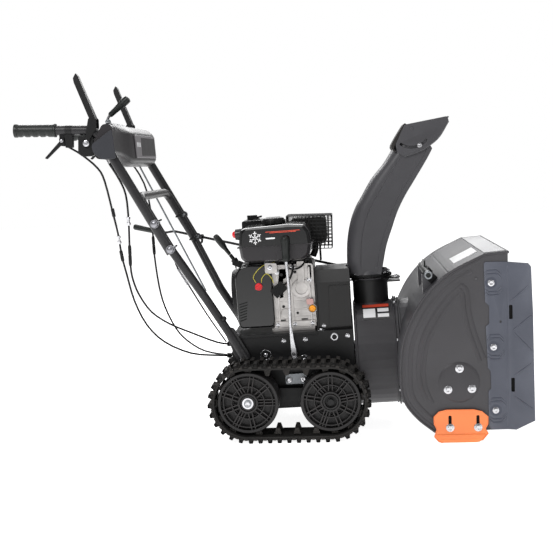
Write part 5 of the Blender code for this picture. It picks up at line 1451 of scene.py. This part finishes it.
def flake(centre, size):
    """A generic six-armed flake as flat bars with side branches, on the near face of the tank."""
    shapes = []
    for k in range(3):
        shapes.append(block((-size, size), (0.0, 0.0006), (-0.0014, 0.0014)))
        bars = [(0.55, 0.32, 1), (0.55, 0.32, -1), (-0.55, 0.32, 1), (-0.55, 0.32, -1)]
        local = [shapes.pop()]
        for at, reach, way in bars:
            branch = block((0, size * reach), (0.0, 0.0006), (-0.0013, 0.0013))
            lean = radians(-50 if at > 0 else -130) * way
            bmesh.ops.transform(branch,
                matrix=Matrix.Translation((size * at, 0, 0)) @ Matrix.Rotation(lean, 4, "Y"),
                verts=branch.verts)
            local.append(branch)
        arm_mesh = merged(*local)
        bmesh.ops.transform(arm_mesh, matrix=Matrix.Rotation(pi / 3 * k + pi / 6, 4, "Y"),
            verts=arm_mesh.verts)
        shapes.append(arm_mesh)
    whole = merged(*shapes)
    bmesh.ops.translate(whole, vec=centre, verts=whole.verts)
    return whole


piece("tank_badge_flake", flake(Vector((-0.04, -0.1507, 0.59)), 0.02), WHITE, "chassis")
lines = [prism([(a, z), (b, z), (b - 0.001, z + 0.0018), (a + 0.001, z + 0.0018)], -0.1506, -0.1496)
    for a, b, z in ((-0.008, 0.096, 0.605), (0.004, 0.084, 0.6018))]
piece("tank_badge_lines", merged(*lines), LABEL_RED, "chassis")
stripe = prism(rounded([(-0.008, 0.584), (0.02, 0.584), (0.02, 0.5885), (-0.008, 0.5885)], 0.0015),
    -0.1506, -0.1496)
piece("tank_badge_stripe", stripe, WHITE, "chassis")

# Intake cover with a wing knob, muffler and its wire guard
paint("muffler", IRON, 0.003)
paint("intake_cover", MOULDED, 0.003)
louvres = [prism(rounded([(a, 0.53), (a + 0.004, 0.53), (a + 0.004, 0.58), (a, 0.58)], 0.0015), 0.0505,
    0.0525) for a in (-0.09, -0.082, -0.074, -0.066, -0.058, -0.05, -0.042)]
louvres += [block((-0.0995, -0.0975), (0.062 + k * 0.012, 0.068 + k * 0.012), (0.53, 0.595))
    for k in range(8)]
piece("intake_louvres", merged(*louvres), MOULDED, "chassis", bevel=0.0005, segments=1)
wing = merged(turned([(0, 0.6325), (0.013, 0.6325), (0.012, 0.637), (0, 0.638)], (-0.056, 0.11, 0),
    (0, 0, 1), 32), prism(rounded([(-0.076, 0.64), (-0.056, 0.636), (-0.036, 0.64), (-0.037, 0.646),
    (-0.05, 0.643), (-0.062, 0.643), (-0.075, 0.646)], 0.002), 0.1075, 0.1125))
piece("intake_wing_knob", wing, MOULDED, "chassis", bevel=0.0008)
GUARD_X, GUARD_Y, GUARD_Z = (0.0433, 0.1865), (0.053, 0.177), (0.5391, 0.6435)
MESH = 0.0118


def spaced(low, high):
    count = max(2, round((high - low) / MESH))
    return [low + (high - low) * k / count for k in range(count + 1)]


wire = []
for z in spaced(*GUARD_Z):
    loop = [(GUARD_X[0], GUARD_Y[0], z), (GUARD_X[1], GUARD_Y[0], z), (GUARD_X[1], GUARD_Y[1], z),
        (GUARD_X[0], GUARD_Y[1], z)]
    wire.append(pipe(bent([*loop, loop[0]], 0.006, 3), 0.0015, 6))
for x in spaced(*GUARD_X):
    route = [(x, GUARD_Y[0], GUARD_Z[0]), (x, GUARD_Y[0], GUARD_Z[1]), (x, GUARD_Y[1], GUARD_Z[1]),
        (x, GUARD_Y[1], GUARD_Z[0])]
    wire.append(pipe(bent(route, 0.006, 3), 0.0015, 6))
for y in spaced(*GUARD_Y):
    route = [(GUARD_X[0], y, GUARD_Z[0]), (GUARD_X[0], y, GUARD_Z[1]), (GUARD_X[1], y, GUARD_Z[1]),
        (GUARD_X[1], y, GUARD_Z[0])]
    wire.append(pipe(bent(route, 0.006, 3), 0.0015, 6))
cage = merged(*wire)
middle = Vector((sum(GUARD_X) / 2, 0, sum(GUARD_Z) / 2))
settle = Matrix.Translation(middle - Vector((0, 0, 0.007))) @ Matrix.Rotation(radians(2.4), 4,
    "Y") @ Matrix.Translation(-middle)
bmesh.ops.transform(cage, matrix=settle, verts=cage.verts)
piece("muffler_cage", cage, FRAME_BLACK, "chassis", ["muffler_guard"])
seams = [prism(rounded([(0.054, z), (0.171, z), (0.171, z + 0.003), (0.054, z + 0.003)], 0.001), 0.064,
    0.166) for z in (0.586,)]
seams.append(disc(0.01, 0.164, 0.17, (0.14, 0, 0.6), steps=24, bore=0.007))
piece("muffler_seam", merged(*seams), IRON, "chassis", bevel=0.0006)
stand = [block((0.06, 0.068), (0.1, 0.13), (0.511, 0.5455)),
    block((0.142, 0.148), (0.085, 0.115), (0.49, 0.5455)),
    pipe(smooth_path([(0.12, 0.1, 0.504), (0.129, 0.1, 0.525), (0.129, 0.1, 0.547)], 6), 0.0105, 16)]
piece("muffler_stand", merged(*stand), IRON, "chassis", bevel=0.0008)
under = [prism(rounded([(-0.07, 0.5085), (0.115, 0.5085), (0.115, 0.5145), (-0.07, 0.5145)], 0.002), -0.1,
    0.04), block((-0.015, 0.045), (0.045, 0.1), (0.512, 0.56))]
piece("tank_shelf", merged(*under), FRAME_BLACK, "chassis", bevel=0.001)


# Handlebars: tubes, bolts, grips, levers and console
TUBE_ROUTE = [(-0.7015, -HANDLE_Y, 0.955), (-0.466, -HANDLE_Y, 0.94), (-0.277, -HANDLE_Y, 0.57)]
SIDES = ((-1, "right"), (1, "left"))


def leg(side):
    return [(-0.281, side * LEG_Y, 0.578), (-0.1968, side * 0.166, 0.4138), (-0.132, side * 0.164, 0.3),
        (-0.093, side * 0.164, 0.225)]


route = bent([*reversed(leg(-1)), (-0.364, -LEG_Y, 0.739), (-0.364, LEG_Y, 0.739), *leg(1)], 0.045, 10)
radii = [0.013] * len(route)
piece("lower_frame_tube", pipe(route, radii, 24), TUBE_GREY, "chassis", ["lower_handlebar"])
for side, name in SIDES:
    tube = pipe(bent(TUBE_ROUTE, 0.06, 14), 0.014, 28)
    piece(name + "_upper_tube", near_or_far(side, tube), TUBE_GREY, "chassis",
        [name + "_upper_handlebar"])
    heads = []
    for x, z in ((-0.3163, 0.6583), (-0.276, 0.5814)):
        heads.append(merged(disc(0.0125, -0.2822, -0.2795, (x, 0, z), steps=32),
            dome((x, -0.2822, z), (0, -1, 0), 0.01, 0.007)))
    piece(name + "_handle_bolts", near_or_far(side, merged(*heads)), HEAD, "chassis", bevel=0.0003)
    spacer = [rod((x, -HANDLE_Y, z), (x, -LEG_Y + 0.01, z), 0.0075, 16)
        for x, z in ((-0.3163, 0.6583), (-0.276, 0.5814))]
    piece(name + "_handle_spacers", near_or_far(side, merged(*spacer)), GALVANISED, "chassis")
    wings = []
    for x, z in ((-0.3205, 0.6583), (-0.2805, 0.579)):
        wings.append(turned([(0, 0), (0.0085, 0), (0.0065, 0.009), (0, 0.01)], (x, -0.2235, z), (0, 1, 0),
            20))
        wings.append(prism(rounded([(x - 0.015, z - 0.006), (x - 0.006, z - 0.004),
            (x + 0.006, z + 0.004), (x + 0.015, z + 0.006), (x + 0.015, z + 0.012), (x, z + 0.006),
            (x - 0.015, z)], 0.002), -0.218, -0.214))
    piece(name + "_wing_nuts", near_or_far(side, merged(*wings)), MOULDED, "chassis", bevel=0.0006)
    foot = prism(rounded([(-0.156, 0.326), (-0.124, 0.326), (-0.08, 0.24), (-0.08, 0.205),
        (-0.106, 0.205), (-0.128, 0.245)], 0.008), -0.167, -0.157)
    piece(name + "_leg_foot", near_or_far(side, foot), TUBE_GREY, "chassis", bevel=0.0015)
    piece(name + "_leg_bolts", near_or_far(side,
        merged(bolt((-0.12, -0.1672, 0.2727), (0, -1, 0), 0.0068),
        bolt((-0.101, -0.1672, 0.226), (0, -1, 0), 0.006))), ZINC, "chassis", bevel=0.0003, segments=1)

# Rubber grips with flanges and finger notches underneath
GRIP_START = Vector(TUBE_ROUTE[0])
GRIP_WAY = (Vector(TUBE_ROUTE[1]) - GRIP_START).normalized()


def hand_grip():
    steps = 72
    shape = bmesh.new()
    rings = []
    length = 0.118
    for k in range(steps + 1):
        d = -0.004 + (length + 0.004) * k / steps
        radius = 0.0172
        if d < 0.0045 or d > length - 0.006:
            radius = 0.0197
        elif d < 0.0085:
            radius = 0.018
        dip = 0.0018 * max(0.0, sin((d - 0.012) / 0.0225 * 2 * pi - pi / 2)) if 0.012 < d < 0.104 else 0.0
        ring = []
        for m in range(32):
            angle = 2 * pi * m / 32
            low = max(0.0, -sin(angle))
            size = radius + (0.0016 - dip * 1.6) * low if 0.0085 < d < length - 0.006 else radius
            other = Vector((0, 1, 0)).cross(GRIP_WAY)
            up = other if other.z > 0 else -other
            ring.append(shape.verts.new(GRIP_START + GRIP_WAY * d + Vector((0, cos(angle),
                0)) * size + up * (sin(angle) * size)))
        rings.append(ring)
    for a, b in zip(rings, rings[1:]):
        for m in range(32):
            n = (m + 1) % 32
            shape.faces.new((a[m], a[n], b[n], b[m]))
    shape.faces.new(list(reversed(rings[0])))
    shape.faces.new(rings[-1])
    bmesh.ops.recalc_face_normals(shape, faces=shape.faces)
    return shape


CLUTCH_PIVOT = Vector((-0.4949, -HANDLE_Y, 0.9038))
STEER_PIVOT = Vector((-0.5675, -HANDLE_Y, 0.9164))
for side, name in SIDES:
    piece(name + "_hand_grip", near_or_far(side, hand_grip()), GRIP, "chassis", [name + "_grip"],
        bevel=0.0004, angle=30)
    blade_side = rounded([(-0.5105, 1.1061), (-0.5191, 1.0922), (-0.5174, 1.0793), (-0.479, 0.97),
        (-0.462, 0.97), (-0.5044, 1.0985)], 0.0025)
    blade = prism(blade_side, -HANDLE_Y - 0.018, -HANDLE_Y + 0.018)
    trims = []
    for way in (-1, 1):
        inner_top, inner_low, outer = 0.0075, 0.018, 0.04
        wedge = bmesh.new()
        a = [wedge.verts.new((x, -HANDLE_Y + way * w, z))
            for x, w, z in ((-0.56, inner_top, 1.12), (-0.56, inner_low, 0.968), (-0.56, outer, 0.968),
            (-0.56, outer, 1.12))]
        b = [wedge.verts.new((x, -HANDLE_Y + way * w, z))
            for x, w, z in ((-0.42, inner_top, 1.12), (-0.42, inner_low, 0.968), (-0.42, outer, 0.968),
            (-0.42, outer, 1.12))]
        wedge.faces.new(a)
        wedge.faces.new(list(reversed(b)))
        for i in range(4):
            j = (i + 1) % 4
            wedge.faces.new((a[i], b[i], b[j], a[j]))
        bmesh.ops.recalc_face_normals(wedge, faces=wedge.faces)
        trims.append(wedge)
    blade = less(blade, *trims)
    ear_shape = rounded([(-0.503, 0.895), (-0.487, 0.895), (-0.483, 0.9159), (-0.461, 0.945),
        (-0.46, 0.972), (-0.47, 0.979), (-0.483, 0.974), (-0.495, 0.925)], 0.004)
    ears = [prism(ear_shape, -HANDLE_Y + s - 0.002, -HANDLE_Y + s + 0.002) for s in (-0.0166, 0.0166)]
    piece(name + "_clutch_handle", near_or_far(side, merged(blade, *ears)), MOULDED, name + "_clutch",
        [name + "_clutch_lever"], bevel=0.0012)
    pin = merged(bolt((CLUTCH_PIVOT.x, -HANDLE_Y - 0.0187, CLUTCH_PIVOT.z), (0, -1, 0), 0.0062, 1.5),
        rod((CLUTCH_PIVOT.x, -HANDLE_Y - 0.019, CLUTCH_PIVOT.z),
        (CLUTCH_PIVOT.x, -HANDLE_Y + 0.022, CLUTCH_PIVOT.z), 0.0032, 12),
        bolt((CLUTCH_PIVOT.x, -HANDLE_Y + 0.0187, CLUTCH_PIVOT.z), (0, 1, 0), 0.0058, 1.2))
    piece(name + "_clutch_pin", near_or_far(side, pin), ZINC, "chassis", bevel=0.0003, segments=1)
    shroud = rounded([(-0.5181, 0.926), (-0.5225, 0.8784), (-0.5123, 0.8667), (-0.4784, 0.866),
        (-0.4719, 0.8835), (-0.474, 0.924)], 0.006)
    shroud_piece = merged(prism(shroud, -HANDLE_Y - 0.0125, -HANDLE_Y + 0.0125))
    piece(name + "_lever_mount", near_or_far(side, shroud_piece), MOULDED, "chassis", bevel=0.0025)
    block_side = rounded([(-0.5569, 0.9343), (-0.5347, 0.9327), (-0.5382, 0.8943), (-0.5579, 0.8957)],
        0.003)
    mount = merged(prism(block_side, -HANDLE_Y - 0.011, -HANDLE_Y + 0.011),
        prism(rounded([(-0.575, 0.937), (-0.556, 0.935), (-0.556, 0.905), (-0.575, 0.908)], 0.004),
        -HANDLE_Y - 0.005, -HANDLE_Y + 0.011))
    strap_ring = turned([(0.0138, -0.01), (0.0145, -0.01), (0.0145, 0.01), (0.0138, 0.01)],
        Vector((-0.5458, -HANDLE_Y, 0.9451)), GRIP_WAY, 32)
    piece(name + "_steering_mount", near_or_far(side, merged(mount, strap_ring)), MOULDED, "chassis",
        bevel=0.0012)
    trigger = rounded([(-0.5745, 0.924), (-0.56, 0.924), (-0.5584, 0.8995), (-0.5712, 0.9022),
        (-0.6142, 0.8665), (-0.6215, 0.87), (-0.574, 0.915)], 0.0025)
    piece(name + "_steering_trigger", near_or_far(side,
        prism(trigger, -HANDLE_Y - 0.012, -HANDLE_Y - 0.0058)), MOULDED, name + "_steering",
        [name + "_steering_lever"], bevel=0.001)
    piece(name + "_steering_pin", near_or_far(side,
        bolt((STEER_PIVOT.x, -HANDLE_Y - 0.0121, STEER_PIVOT.z), (0, -1, 0), 0.0042, 1.2)), ZINC,
        "chassis", bevel=0.0003, segments=1)

# Control console: dark side panels, a dished body and a framed front panel
tube_cut = [pipe(bent(TUBE_ROUTE, 0.06, 14), 0.0146, 24)]
tube_cut.append(mirrored(tube_cut[0].copy()))
side_panel = rounded([(-0.4796, 0.8989), (-0.4163, 0.9397), (-0.4108, 0.8536), (-0.4536, 0.855),
    (-0.4762, 0.8749)], 0.008)
panels = []
for way in (-1, 1):
    panels.append(prism(side_panel, way * 0.2855 - 0.0022, way * 0.2855 + 0.0022))
piece("console_side_panels", less(merged(*panels), *[shape.copy() for shape in tube_cut]), PANEL_SIDE,
    "chassis", bevel=0.0015)


def console_section(front, low, chin):
    """The console's side outline: its front edge's place, and the height under it and under the chin."""
    outline = [
        (-0.478, 0.896), (-0.47, low + 0.004), (-0.438, low), (front - 0.028, chin),
        (front, chin + 0.015),
        (front - 0.002, 0.933), (-0.419, 0.9534), (-0.444, 0.956),
    ]
    return rounded(outline, 0.011)


CONSOLE_STATIONS = (
    (-0.283, -0.414, 0.853, 0.853), (-0.245, -0.414, 0.853, 0.853), (-0.205, -0.412, 0.852, 0.851),
    (-0.17, -0.407, 0.849, 0.845),
    (-0.14, -0.399, 0.843, 0.835), (-0.115, -0.3935, 0.837, 0.829), (-0.09, -0.3915, 0.835, 0.8275),
    (0.0, -0.3905, 0.835, 0.827),
    (0.23, -0.3905, 0.835, 0.827), (0.26, -0.393, 0.838, 0.83), (0.276, -0.4, 0.844, 0.838),
    (0.283, -0.408, 0.85, 0.845),
)
body_shape = bmesh.new()
rings = [[body_shape.verts.new((x, y, z)) for x, z in console_section(*sizes)]
    for y, *sizes in CONSOLE_STATIONS]
for a, b in zip(rings, rings[1:]):
    for k in range(len(a)):
        m = (k + 1) % len(a)
        body_shape.faces.new((a[k], a[m], b[m], b[k]))
body_shape.faces.new(rings[0])
body_shape.faces.new(list(reversed(rings[-1])))
bmesh.ops.recalc_face_normals(body_shape, faces=body_shape.faces)
body_shape = less(body_shape, tube_cut[0].copy(), tube_cut[1].copy(),
    block((-0.52, -0.456), (-0.0075, 0.0075), (0.886, 1.0)))
piece("console_body", body_shape, DARK_GREY, "chassis", ["control_console"], bevel=0.003, segments=3)
hump = rounded([(-0.504, 0.94), (-0.476, 0.864), (-0.43, 0.85), (-0.4, 0.9), (-0.444, 0.956),
    (-0.466, 0.97)], 0.008)
hump_shape = less(prism(hump, -0.108, 0.108), block((-0.54, -0.456), (-0.0075, 0.0075), (0.886, 1.0)))
piece("console_hump", hump_shape, PANEL_SIDE, "chassis", bevel=0.003, segments=3)
for shape in tube_cut:
    shape.free()
FACE = [(-0.3918, 0.931), (-0.3903, 0.85)]
FACE_WAY = (Vector(FACE[1]) - Vector(FACE[0])).normalized()
FACE_OUT = Vector((-FACE_WAY.y, FACE_WAY.x))


def face_slab(t, y, low, high):
    """A slab on the console's front: t runs down the face in metres, y across, and heights stand out."""
    start = Vector(FACE[0])
    return prism([tuple(start + FACE_WAY * a + FACE_OUT * h)
        for a, h in ((t[0], low), (t[1], low), (t[1], high), (t[0], high))], *y)


piece("console_front_frame", face_slab((0.005, 0.076), (-0.088, 0.238), -0.0015, 0.0026), PANEL_FACE,
    "chassis", bevel=0.002, segments=3)
piece("console_front_inset", face_slab((0.012, 0.069), (0.0, 0.23), 0.0022, 0.0034), DARK_GREY, "chassis",
    bevel=0.0005)
ticks = [face_slab((0.028, 0.042), (y, y + 0.012), 0.0024, 0.0031) for y in (-0.07, -0.05, -0.03)]
piece("console_front_marks", merged(*ticks), WHITE, "chassis")
plate_marks = [prism(rounded([(-0.47, 0.912), (-0.456, 0.933), (-0.4535, 0.932), (-0.4675, 0.9105)],
    0.0006), y, y + 0.003) for y in (-0.09, -0.07, -0.05, -0.03, 0.03, 0.05, 0.07, 0.09)]
for shape in plate_marks:
    bmesh.ops.translate(shape, vec=(-0.008, 0, 0.008), verts=shape.verts)
piece("console_gate_marks", merged(*plate_marks), WHITE, "chassis")

# Speed lever: tapered knob on a chrome stem, with a boot at its foot
KNOB_FROM, KNOB_TO = Vector((-0.4796, 0.0, 0.996)), Vector((-0.417, 0.0, 1.044))
reach = (KNOB_TO - KNOB_FROM).length
knob_profile = [(0.0, -0.004), (0.0062, -0.003), (0.0085, 0.002), (0.0092, reach * 0.3),
    (0.0118, reach * 0.6), (0.0128, reach * 0.82), (0.0118, reach * 0.96), (0.006, reach), (0.0, reach)]
piece("speed_knob", turned(knob_profile, KNOB_FROM, KNOB_TO - KNOB_FROM, 36), GRIP, "speed_control",
    ["speed_lever"], bevel=0.0004)
stem = merged(pipe(smooth_path([(-0.4725, 0.0, 0.9), (-0.481, 0.0, 0.95), (-0.49, 0.0, 0.976),
    (-0.483, 0.0, 0.993), (-0.472, 0.0, 1.002)], 8), 0.0042, 16),
    disc(0.0085, -0.0035, 0.0035, (-0.47, 0, 0.9), steps=24))
piece("speed_stem", stem, CHROME, "speed_control")
boot = turned([(0.0042, 0.0), (0.0085, 0.0), (0.01, 0.004), (0.0085, 0.0075), (0.0095, 0.011),
    (0.0075, 0.015), (0.0042, 0.018)], (-0.4868, 0.0, 0.9655), (-0.15, 0, 1.0), 28)
piece("speed_boot", boot, GALVANISED, "speed_control")

# Cables, with their sleeves, adjusters and hooks
RIGHT_STEER = [
    (-0.556, -0.262, 0.9), (-0.515, -0.262, 0.872), (-0.472, -0.262, 0.83), (-0.457, -0.253, 0.79),
    (-0.445, -0.238, 0.7),
    (-0.437, -0.228, 0.636), (-0.433, -0.218, 0.566), (-0.425, -0.209, 0.51), (-0.411, -0.198, 0.429),
    (-0.382, -0.186, 0.353),
    (-0.334, -0.175, 0.296), (-0.259, -0.162, 0.255), (-0.185, -0.14, 0.24), (-0.14, -0.12, 0.233),
]
CLUTCH = [
    (-0.444, -0.222, 0.838), (-0.42, -0.222, 0.792), (-0.407, -0.214, 0.748), (-0.407, -0.203, 0.679),
    (-0.414, -0.189, 0.593),
    (-0.418, -0.179, 0.529), (-0.416, -0.169, 0.489), (-0.403, -0.16, 0.442), (-0.372, -0.15, 0.387),
    (-0.322, -0.14, 0.346),
    (-0.259, -0.13, 0.313), (-0.183, -0.115, 0.276), (-0.14, -0.105, 0.266),
]
LEFT_STEER = [
    (-0.556, 0.262, 0.9), (-0.515, 0.262, 0.872), (-0.468, 0.26, 0.83), (-0.428, 0.241, 0.738),
    (-0.416, 0.211, 0.594),
    (-0.414, 0.197, 0.53), (-0.403, 0.176, 0.431), (-0.386, 0.161, 0.361), (-0.352, 0.144, 0.289),
    (-0.313, 0.131, 0.246),
    (-0.257, 0.118, 0.212), (-0.185, 0.1, 0.199), (-0.141, 0.092, 0.198),
]
AUGER_ROD = [(-0.44, -0.24, 0.841), (-0.421, -0.234, 0.807), (-0.297, -0.197, 0.584),
    (-0.276, -0.188, 0.522), (-0.244, -0.178, 0.458), (-0.2, -0.166, 0.37), (-0.15, -0.152, 0.281)]


def cable_piece(name, route, diameter, stand_for=()):
    """A sheathed control cable from its lever to the frame; returns its path."""
    path = [MACHINE @ p for p in smooth_path(route, 3)]
    made = piece(name, pipe(path, diameter / 2, 12), MOULDED, "chassis", stand_for, level=True)
    return path


cable_piece("right_steering_line", RIGHT_STEER, 0.006, ["right_steering_cable"])
cable_piece("left_steering_line", LEFT_STEER, 0.006, ["left_steering_cable"])
cable_piece("clutch_line", CLUTCH, 0.006, ["clutch_cable"])
piece("auger_clutch_rod", pipe(smooth_path(AUGER_ROD, 6), 0.0024, 10), FRAME_BLACK, "chassis")
paint("shift_rod", GALVANISED)


def fitting(start, end, profile):
    """A turned sleeve between two points; the profile is (radius, share of the length)."""
    start, end = Vector(start), Vector(end)
    length = (end - start).length
    return turned([(0.0, 0.0), *[(r, s * length) for r, s in profile], (0.0, length)], start, end - start,
        20)


SLEEVE = [(0.0042, 0.0), (0.0052, 0.1), (0.0052, 0.42), (0.0044, 0.46), (0.0052, 0.52), (0.0052, 0.9),
    (0.004, 1.0)]
NUTS = [(0.0038, 0.0), (0.006, 0.05), (0.006, 0.3), (0.004, 0.34), (0.004, 0.6), (0.006, 0.64),
    (0.006, 0.92), (0.004, 1.0)]
sleeves = [
    fitting((-0.445, -0.2385, 0.7108), (-0.4425, -0.235, 0.6854), SLEEVE),
    fitting((-0.4345, -0.2215, 0.5844), (-0.432, -0.2155, 0.5516), SLEEVE),
    fitting((-0.4137, -0.1895, 0.596), (-0.418, -0.18, 0.534), SLEEVE),
    fitting((-0.4165, 0.212, 0.596), (-0.414, 0.198, 0.535), SLEEVE),
    fitting((-0.441, -0.24, 0.843), (-0.424, -0.235, 0.812), SLEEVE),
]
piece("cable_sleeves", merged(*sleeves), MOULDED, "chassis", bevel=0.0003, segments=1)
adjusters = [fitting((-0.4365, -0.2272, 0.63), (-0.4352, -0.2245, 0.604), NUTS),
    fitting((-0.299, -0.1977, 0.588), (-0.287, -0.1935, 0.556), NUTS),
    fitting((-0.4075, -0.203, 0.683), (-0.4085, -0.199, 0.656), NUTS)]
piece("cable_adjusters", merged(*adjusters), ZINC, "chassis", bevel=0.0003, segments=1)
coils = []
for k in range(121):
    t = k / 120
    base = Vector((-0.274, -0.1875, 0.518)).lerp(Vector((-0.247, -0.179, 0.464)), t)
    angle = 2 * pi * 14 * t
    coils.append(base + Vector((0.0052 * cos(angle), 0.0052 * sin(angle), 0.0)))
piece("clutch_spring", pipe(coils, 0.0009, 6), HEAD, "chassis")
hook = pipe(smooth_path([(-0.45, -0.24, 0.856), (-0.443, -0.24, 0.84), (-0.435, -0.238, 0.832),
    (-0.427, -0.238, 0.837)], 6), 0.0018, 8)
piece("console_hook", hook, ZINC, "chassis")
clips = [turned([(0.004, -0.006), (0.0075, -0.006), (0.0075, 0.006), (0.004, 0.006)], place, way, 20)
    for place, way in (((-0.148, -0.123, 0.2345), (1, 0.35, -0.12)),
    ((-0.147, -0.107, 0.2675), (1, 0.25, -0.2)), ((-0.148, 0.0935, 0.1982), (1, 0.1, 0)))]
piece("frame_cable_stops", merged(*clips), MOULDED, "chassis", bevel=0.0004)

# Chute crank with its eyelet and worm, shift lever for the tracks, and the clean-out tool
WORM_CENTRE = Vector((0.324, 0.08, 0.436))
EYELET = Vector((-0.262, 0.29, 0.578))
CRANK_WAY = (WORM_CENTRE - EYELET).normalized()
WORM_END = WORM_CENTRE + CRANK_WAY * 0.045
out = Vector((-0.3373, -0.9414, 0.0)).normalized()
out = (out - CRANK_WAY * out.dot(CRANK_WAY)).normalized()
elbow = EYELET - CRANK_WAY * 0.11
offset = elbow + out * 0.075
crank_rod = pipe(bent([WORM_END, elbow, offset, offset - CRANK_WAY * 0.11], 0.014, 8), 0.0044, 18)
piece("crank_rod", crank_rod, FRAME_BLACK, "crank", ["chute_crank"])
worm = []
for k in range(161):
    t = k / 160
    angle = 2 * pi * 5 * t
    side = CRANK_WAY.orthogonal().normalized()
    other = CRANK_WAY.cross(side)
    worm.append(WORM_CENTRE + CRANK_WAY * (-0.022 + 0.044 * t) + (
        side * cos(angle) + other * sin(angle)) * 0.0098)
core = rod(WORM_CENTRE - CRANK_WAY * 0.022, WORM_CENTRE + CRANK_WAY * 0.022, 0.0085, 24)
piece("crank_worm", merged(core, pipe(worm, 0.0021, 8)), GALVANISED, "crank")
grip_at = offset - CRANK_WAY * 0.024
crank_grip = [(0.0, 0.0), (0.009, 0.0), (0.0098, 0.004), (0.0088, 0.008), (0.0092, 0.04), (0.0098, 0.078),
    (0.01, 0.086), (0.0085, 0.0905), (0.0, 0.091)]
piece("crank_grip", turned(crank_grip, grip_at, -CRANK_WAY, 32), GRIP, "crank", bevel=0.0004)
ring = turned([(0.0052, -0.0035), (0.0095, -0.0035), (0.0105, 0.0), (0.0095, 0.0035), (0.0052, 0.0035)],
    EYELET, CRANK_WAY, 32)
stalk = pipe(smooth_path([tuple(EYELET + Vector((0, 0.0, -0.009))), (-0.264, 0.286, 0.56),
    (-0.27, 0.272, 0.56)], 6), 0.0038, 12)
piece("crank_eyelet", merged(ring, stalk), MOULDED, "chassis", bevel=0.0004)
yoke = [disc(0.0135, -0.003, 0.003, WORM_CENTRE - CRANK_WAY * 0.031, "X", 28, bore=0.0055),
    disc(0.0135, -0.003, 0.003, WORM_CENTRE + CRANK_WAY * 0.031, "X", 28, bore=0.0055)]
yoke.append(block((0.29, 0.358), (0.062, 0.1), (0.417, 0.4195)))
piece("worm_bracket", merged(*yoke), GALVANISED, "chassis", bevel=0.0006)

TILT_Y = -0.168
plate = rounded([(0.0465, 0.206), (0.0635, 0.206), (0.0625, 0.236), (0.056, 0.28), (0.0535, 0.315),
    (0.0455, 0.315), (0.0455, 0.26)], 0.003)
lever = merged(prism(plate, TILT_Y - 0.0022, TILT_Y + 0.0022),
    pipe(smooth_path([(0.049, TILT_Y, 0.296), (0.0495, TILT_Y, 0.35), (0.052, TILT_Y, 0.43),
    (0.0495, TILT_Y, 0.525)], 8), 0.0046, 20))
piece("tilt_lever_bar", lever, ZINC, "tilt_control", ["tilt_lever"], bevel=0.0006)
handle = pipe(smooth_path([(0.0497, TILT_Y, 0.515), (0.05, TILT_Y, 0.54), (0.0505, TILT_Y, 0.565),
    (0.05, TILT_Y, 0.59)], 8), [0.0085, 0.0105, 0.0115, 0.0118, 0.0114, 0.011, 0.0108, 0.0108, 0.011,
    0.0112, 0.0114, 0.0116, 0.0118, 0.012, 0.0122, 0.0124, 0.0124, 0.0125, 0.0126, 0.0127, 0.0128, 0.0127,
    0.0122, 0.011, 0.008], 28)
piece("tilt_lever_grip", handle, GRIP, "tilt_control")
piece("tilt_lever_bolt", merged(bolt((0.055, TILT_Y - 0.0028, 0.2186), (0, -1, 0), 0.007, 1.5)), ZINC,
    "chassis", bevel=0.0003, segments=1)

TOOL = Vector((0.459, -0.165, 0.462))
tool_parts = [
    turned([(0, -0.135), (0.0095, -0.135), (0.0108, -0.128), (0.0108, 0.0), (0.01, 0.006), (0.01, 0.17),
    (0.0, 0.172)], TOOL, (0, 1, 0), 32),
]
scoop = prism(rounded([(0.0, -0.03), (0.085, -0.026), (0.085, 0.026), (0.0, 0.03)], 0.01), -0.0024,
    0.0024, "X")
bmesh.ops.translate(scoop, vec=TOOL, verts=scoop.verts)
tool_parts.append(scoop)
piece("tool_body", merged(*tool_parts), GRIP, "tool", ["clean_out_tool"], bevel=0.0008)
cap = merged(turned([(0.007, -0.14), (0.0112, -0.14), (0.0112, -0.112), (0.0109, -0.108),
    (0.007, -0.108)], TOOL, (0, 1, 0), 32))
piece("tool_cap", cap, GALVANISED, "tool", bevel=0.0005)
holders = []
for y in (-0.255, -0.06):
    ring_half = turned([(0.0113, -0.006), (0.014, -0.006), (0.014, 0.006), (0.0113, 0.006)],
        (TOOL.x, y, TOOL.z), (0, 1, 0), 32)
    holders.append(less(ring_half, block((TOOL.x - 0.03, TOOL.x + 0.03), (y - 0.02, y + 0.02),
        (TOOL.z + 0.004, TOOL.z + 0.03))))
    seat = block((TOOL.x - 0.013, TOOL.x + 0.013), (y - 0.0125, y + 0.0125),
        (TOOL.z - 0.028, TOOL.z - 0.0125))
    about = Matrix.Translation(TOOL)
    bmesh.ops.transform(seat, matrix=about @ Matrix.Rotation(radians(-42), 4, "Y") @ about.inverted(),
        verts=seat.verts)
    holders.append(seat)
piece("tool_holders", merged(*holders), MOULDED, "chassis", bevel=0.0006)


# Floor
HALF_FLOOR = 12.0
floor = bpy.data.meshes.new("floor")
floor.from_pydata([(x * HALF_FLOOR, y * HALF_FLOOR, 0.0)
    for x, y in ((-1, -1), (1, -1), (1, 1), (-1, 1))], [], [(0, 1, 2, 3)])
ground = bpy.data.objects.new("floor", floor)
bpy.context.collection.objects.link(ground)
pale = look("floor_white", (0.93, 0.93, 0.93), 0.8, vary=0.005, grain=30, bump=0.0, blotch=1.5,
    specular=0.1)
glow = pale.node_tree.nodes["Principled BSDF"]
glow.inputs["Emission Color"].default_value = (1.0, 1.0, 1.0, 1.0)
glow.inputs["Emission Strength"].default_value = 0.9
floor.materials.append(pale)
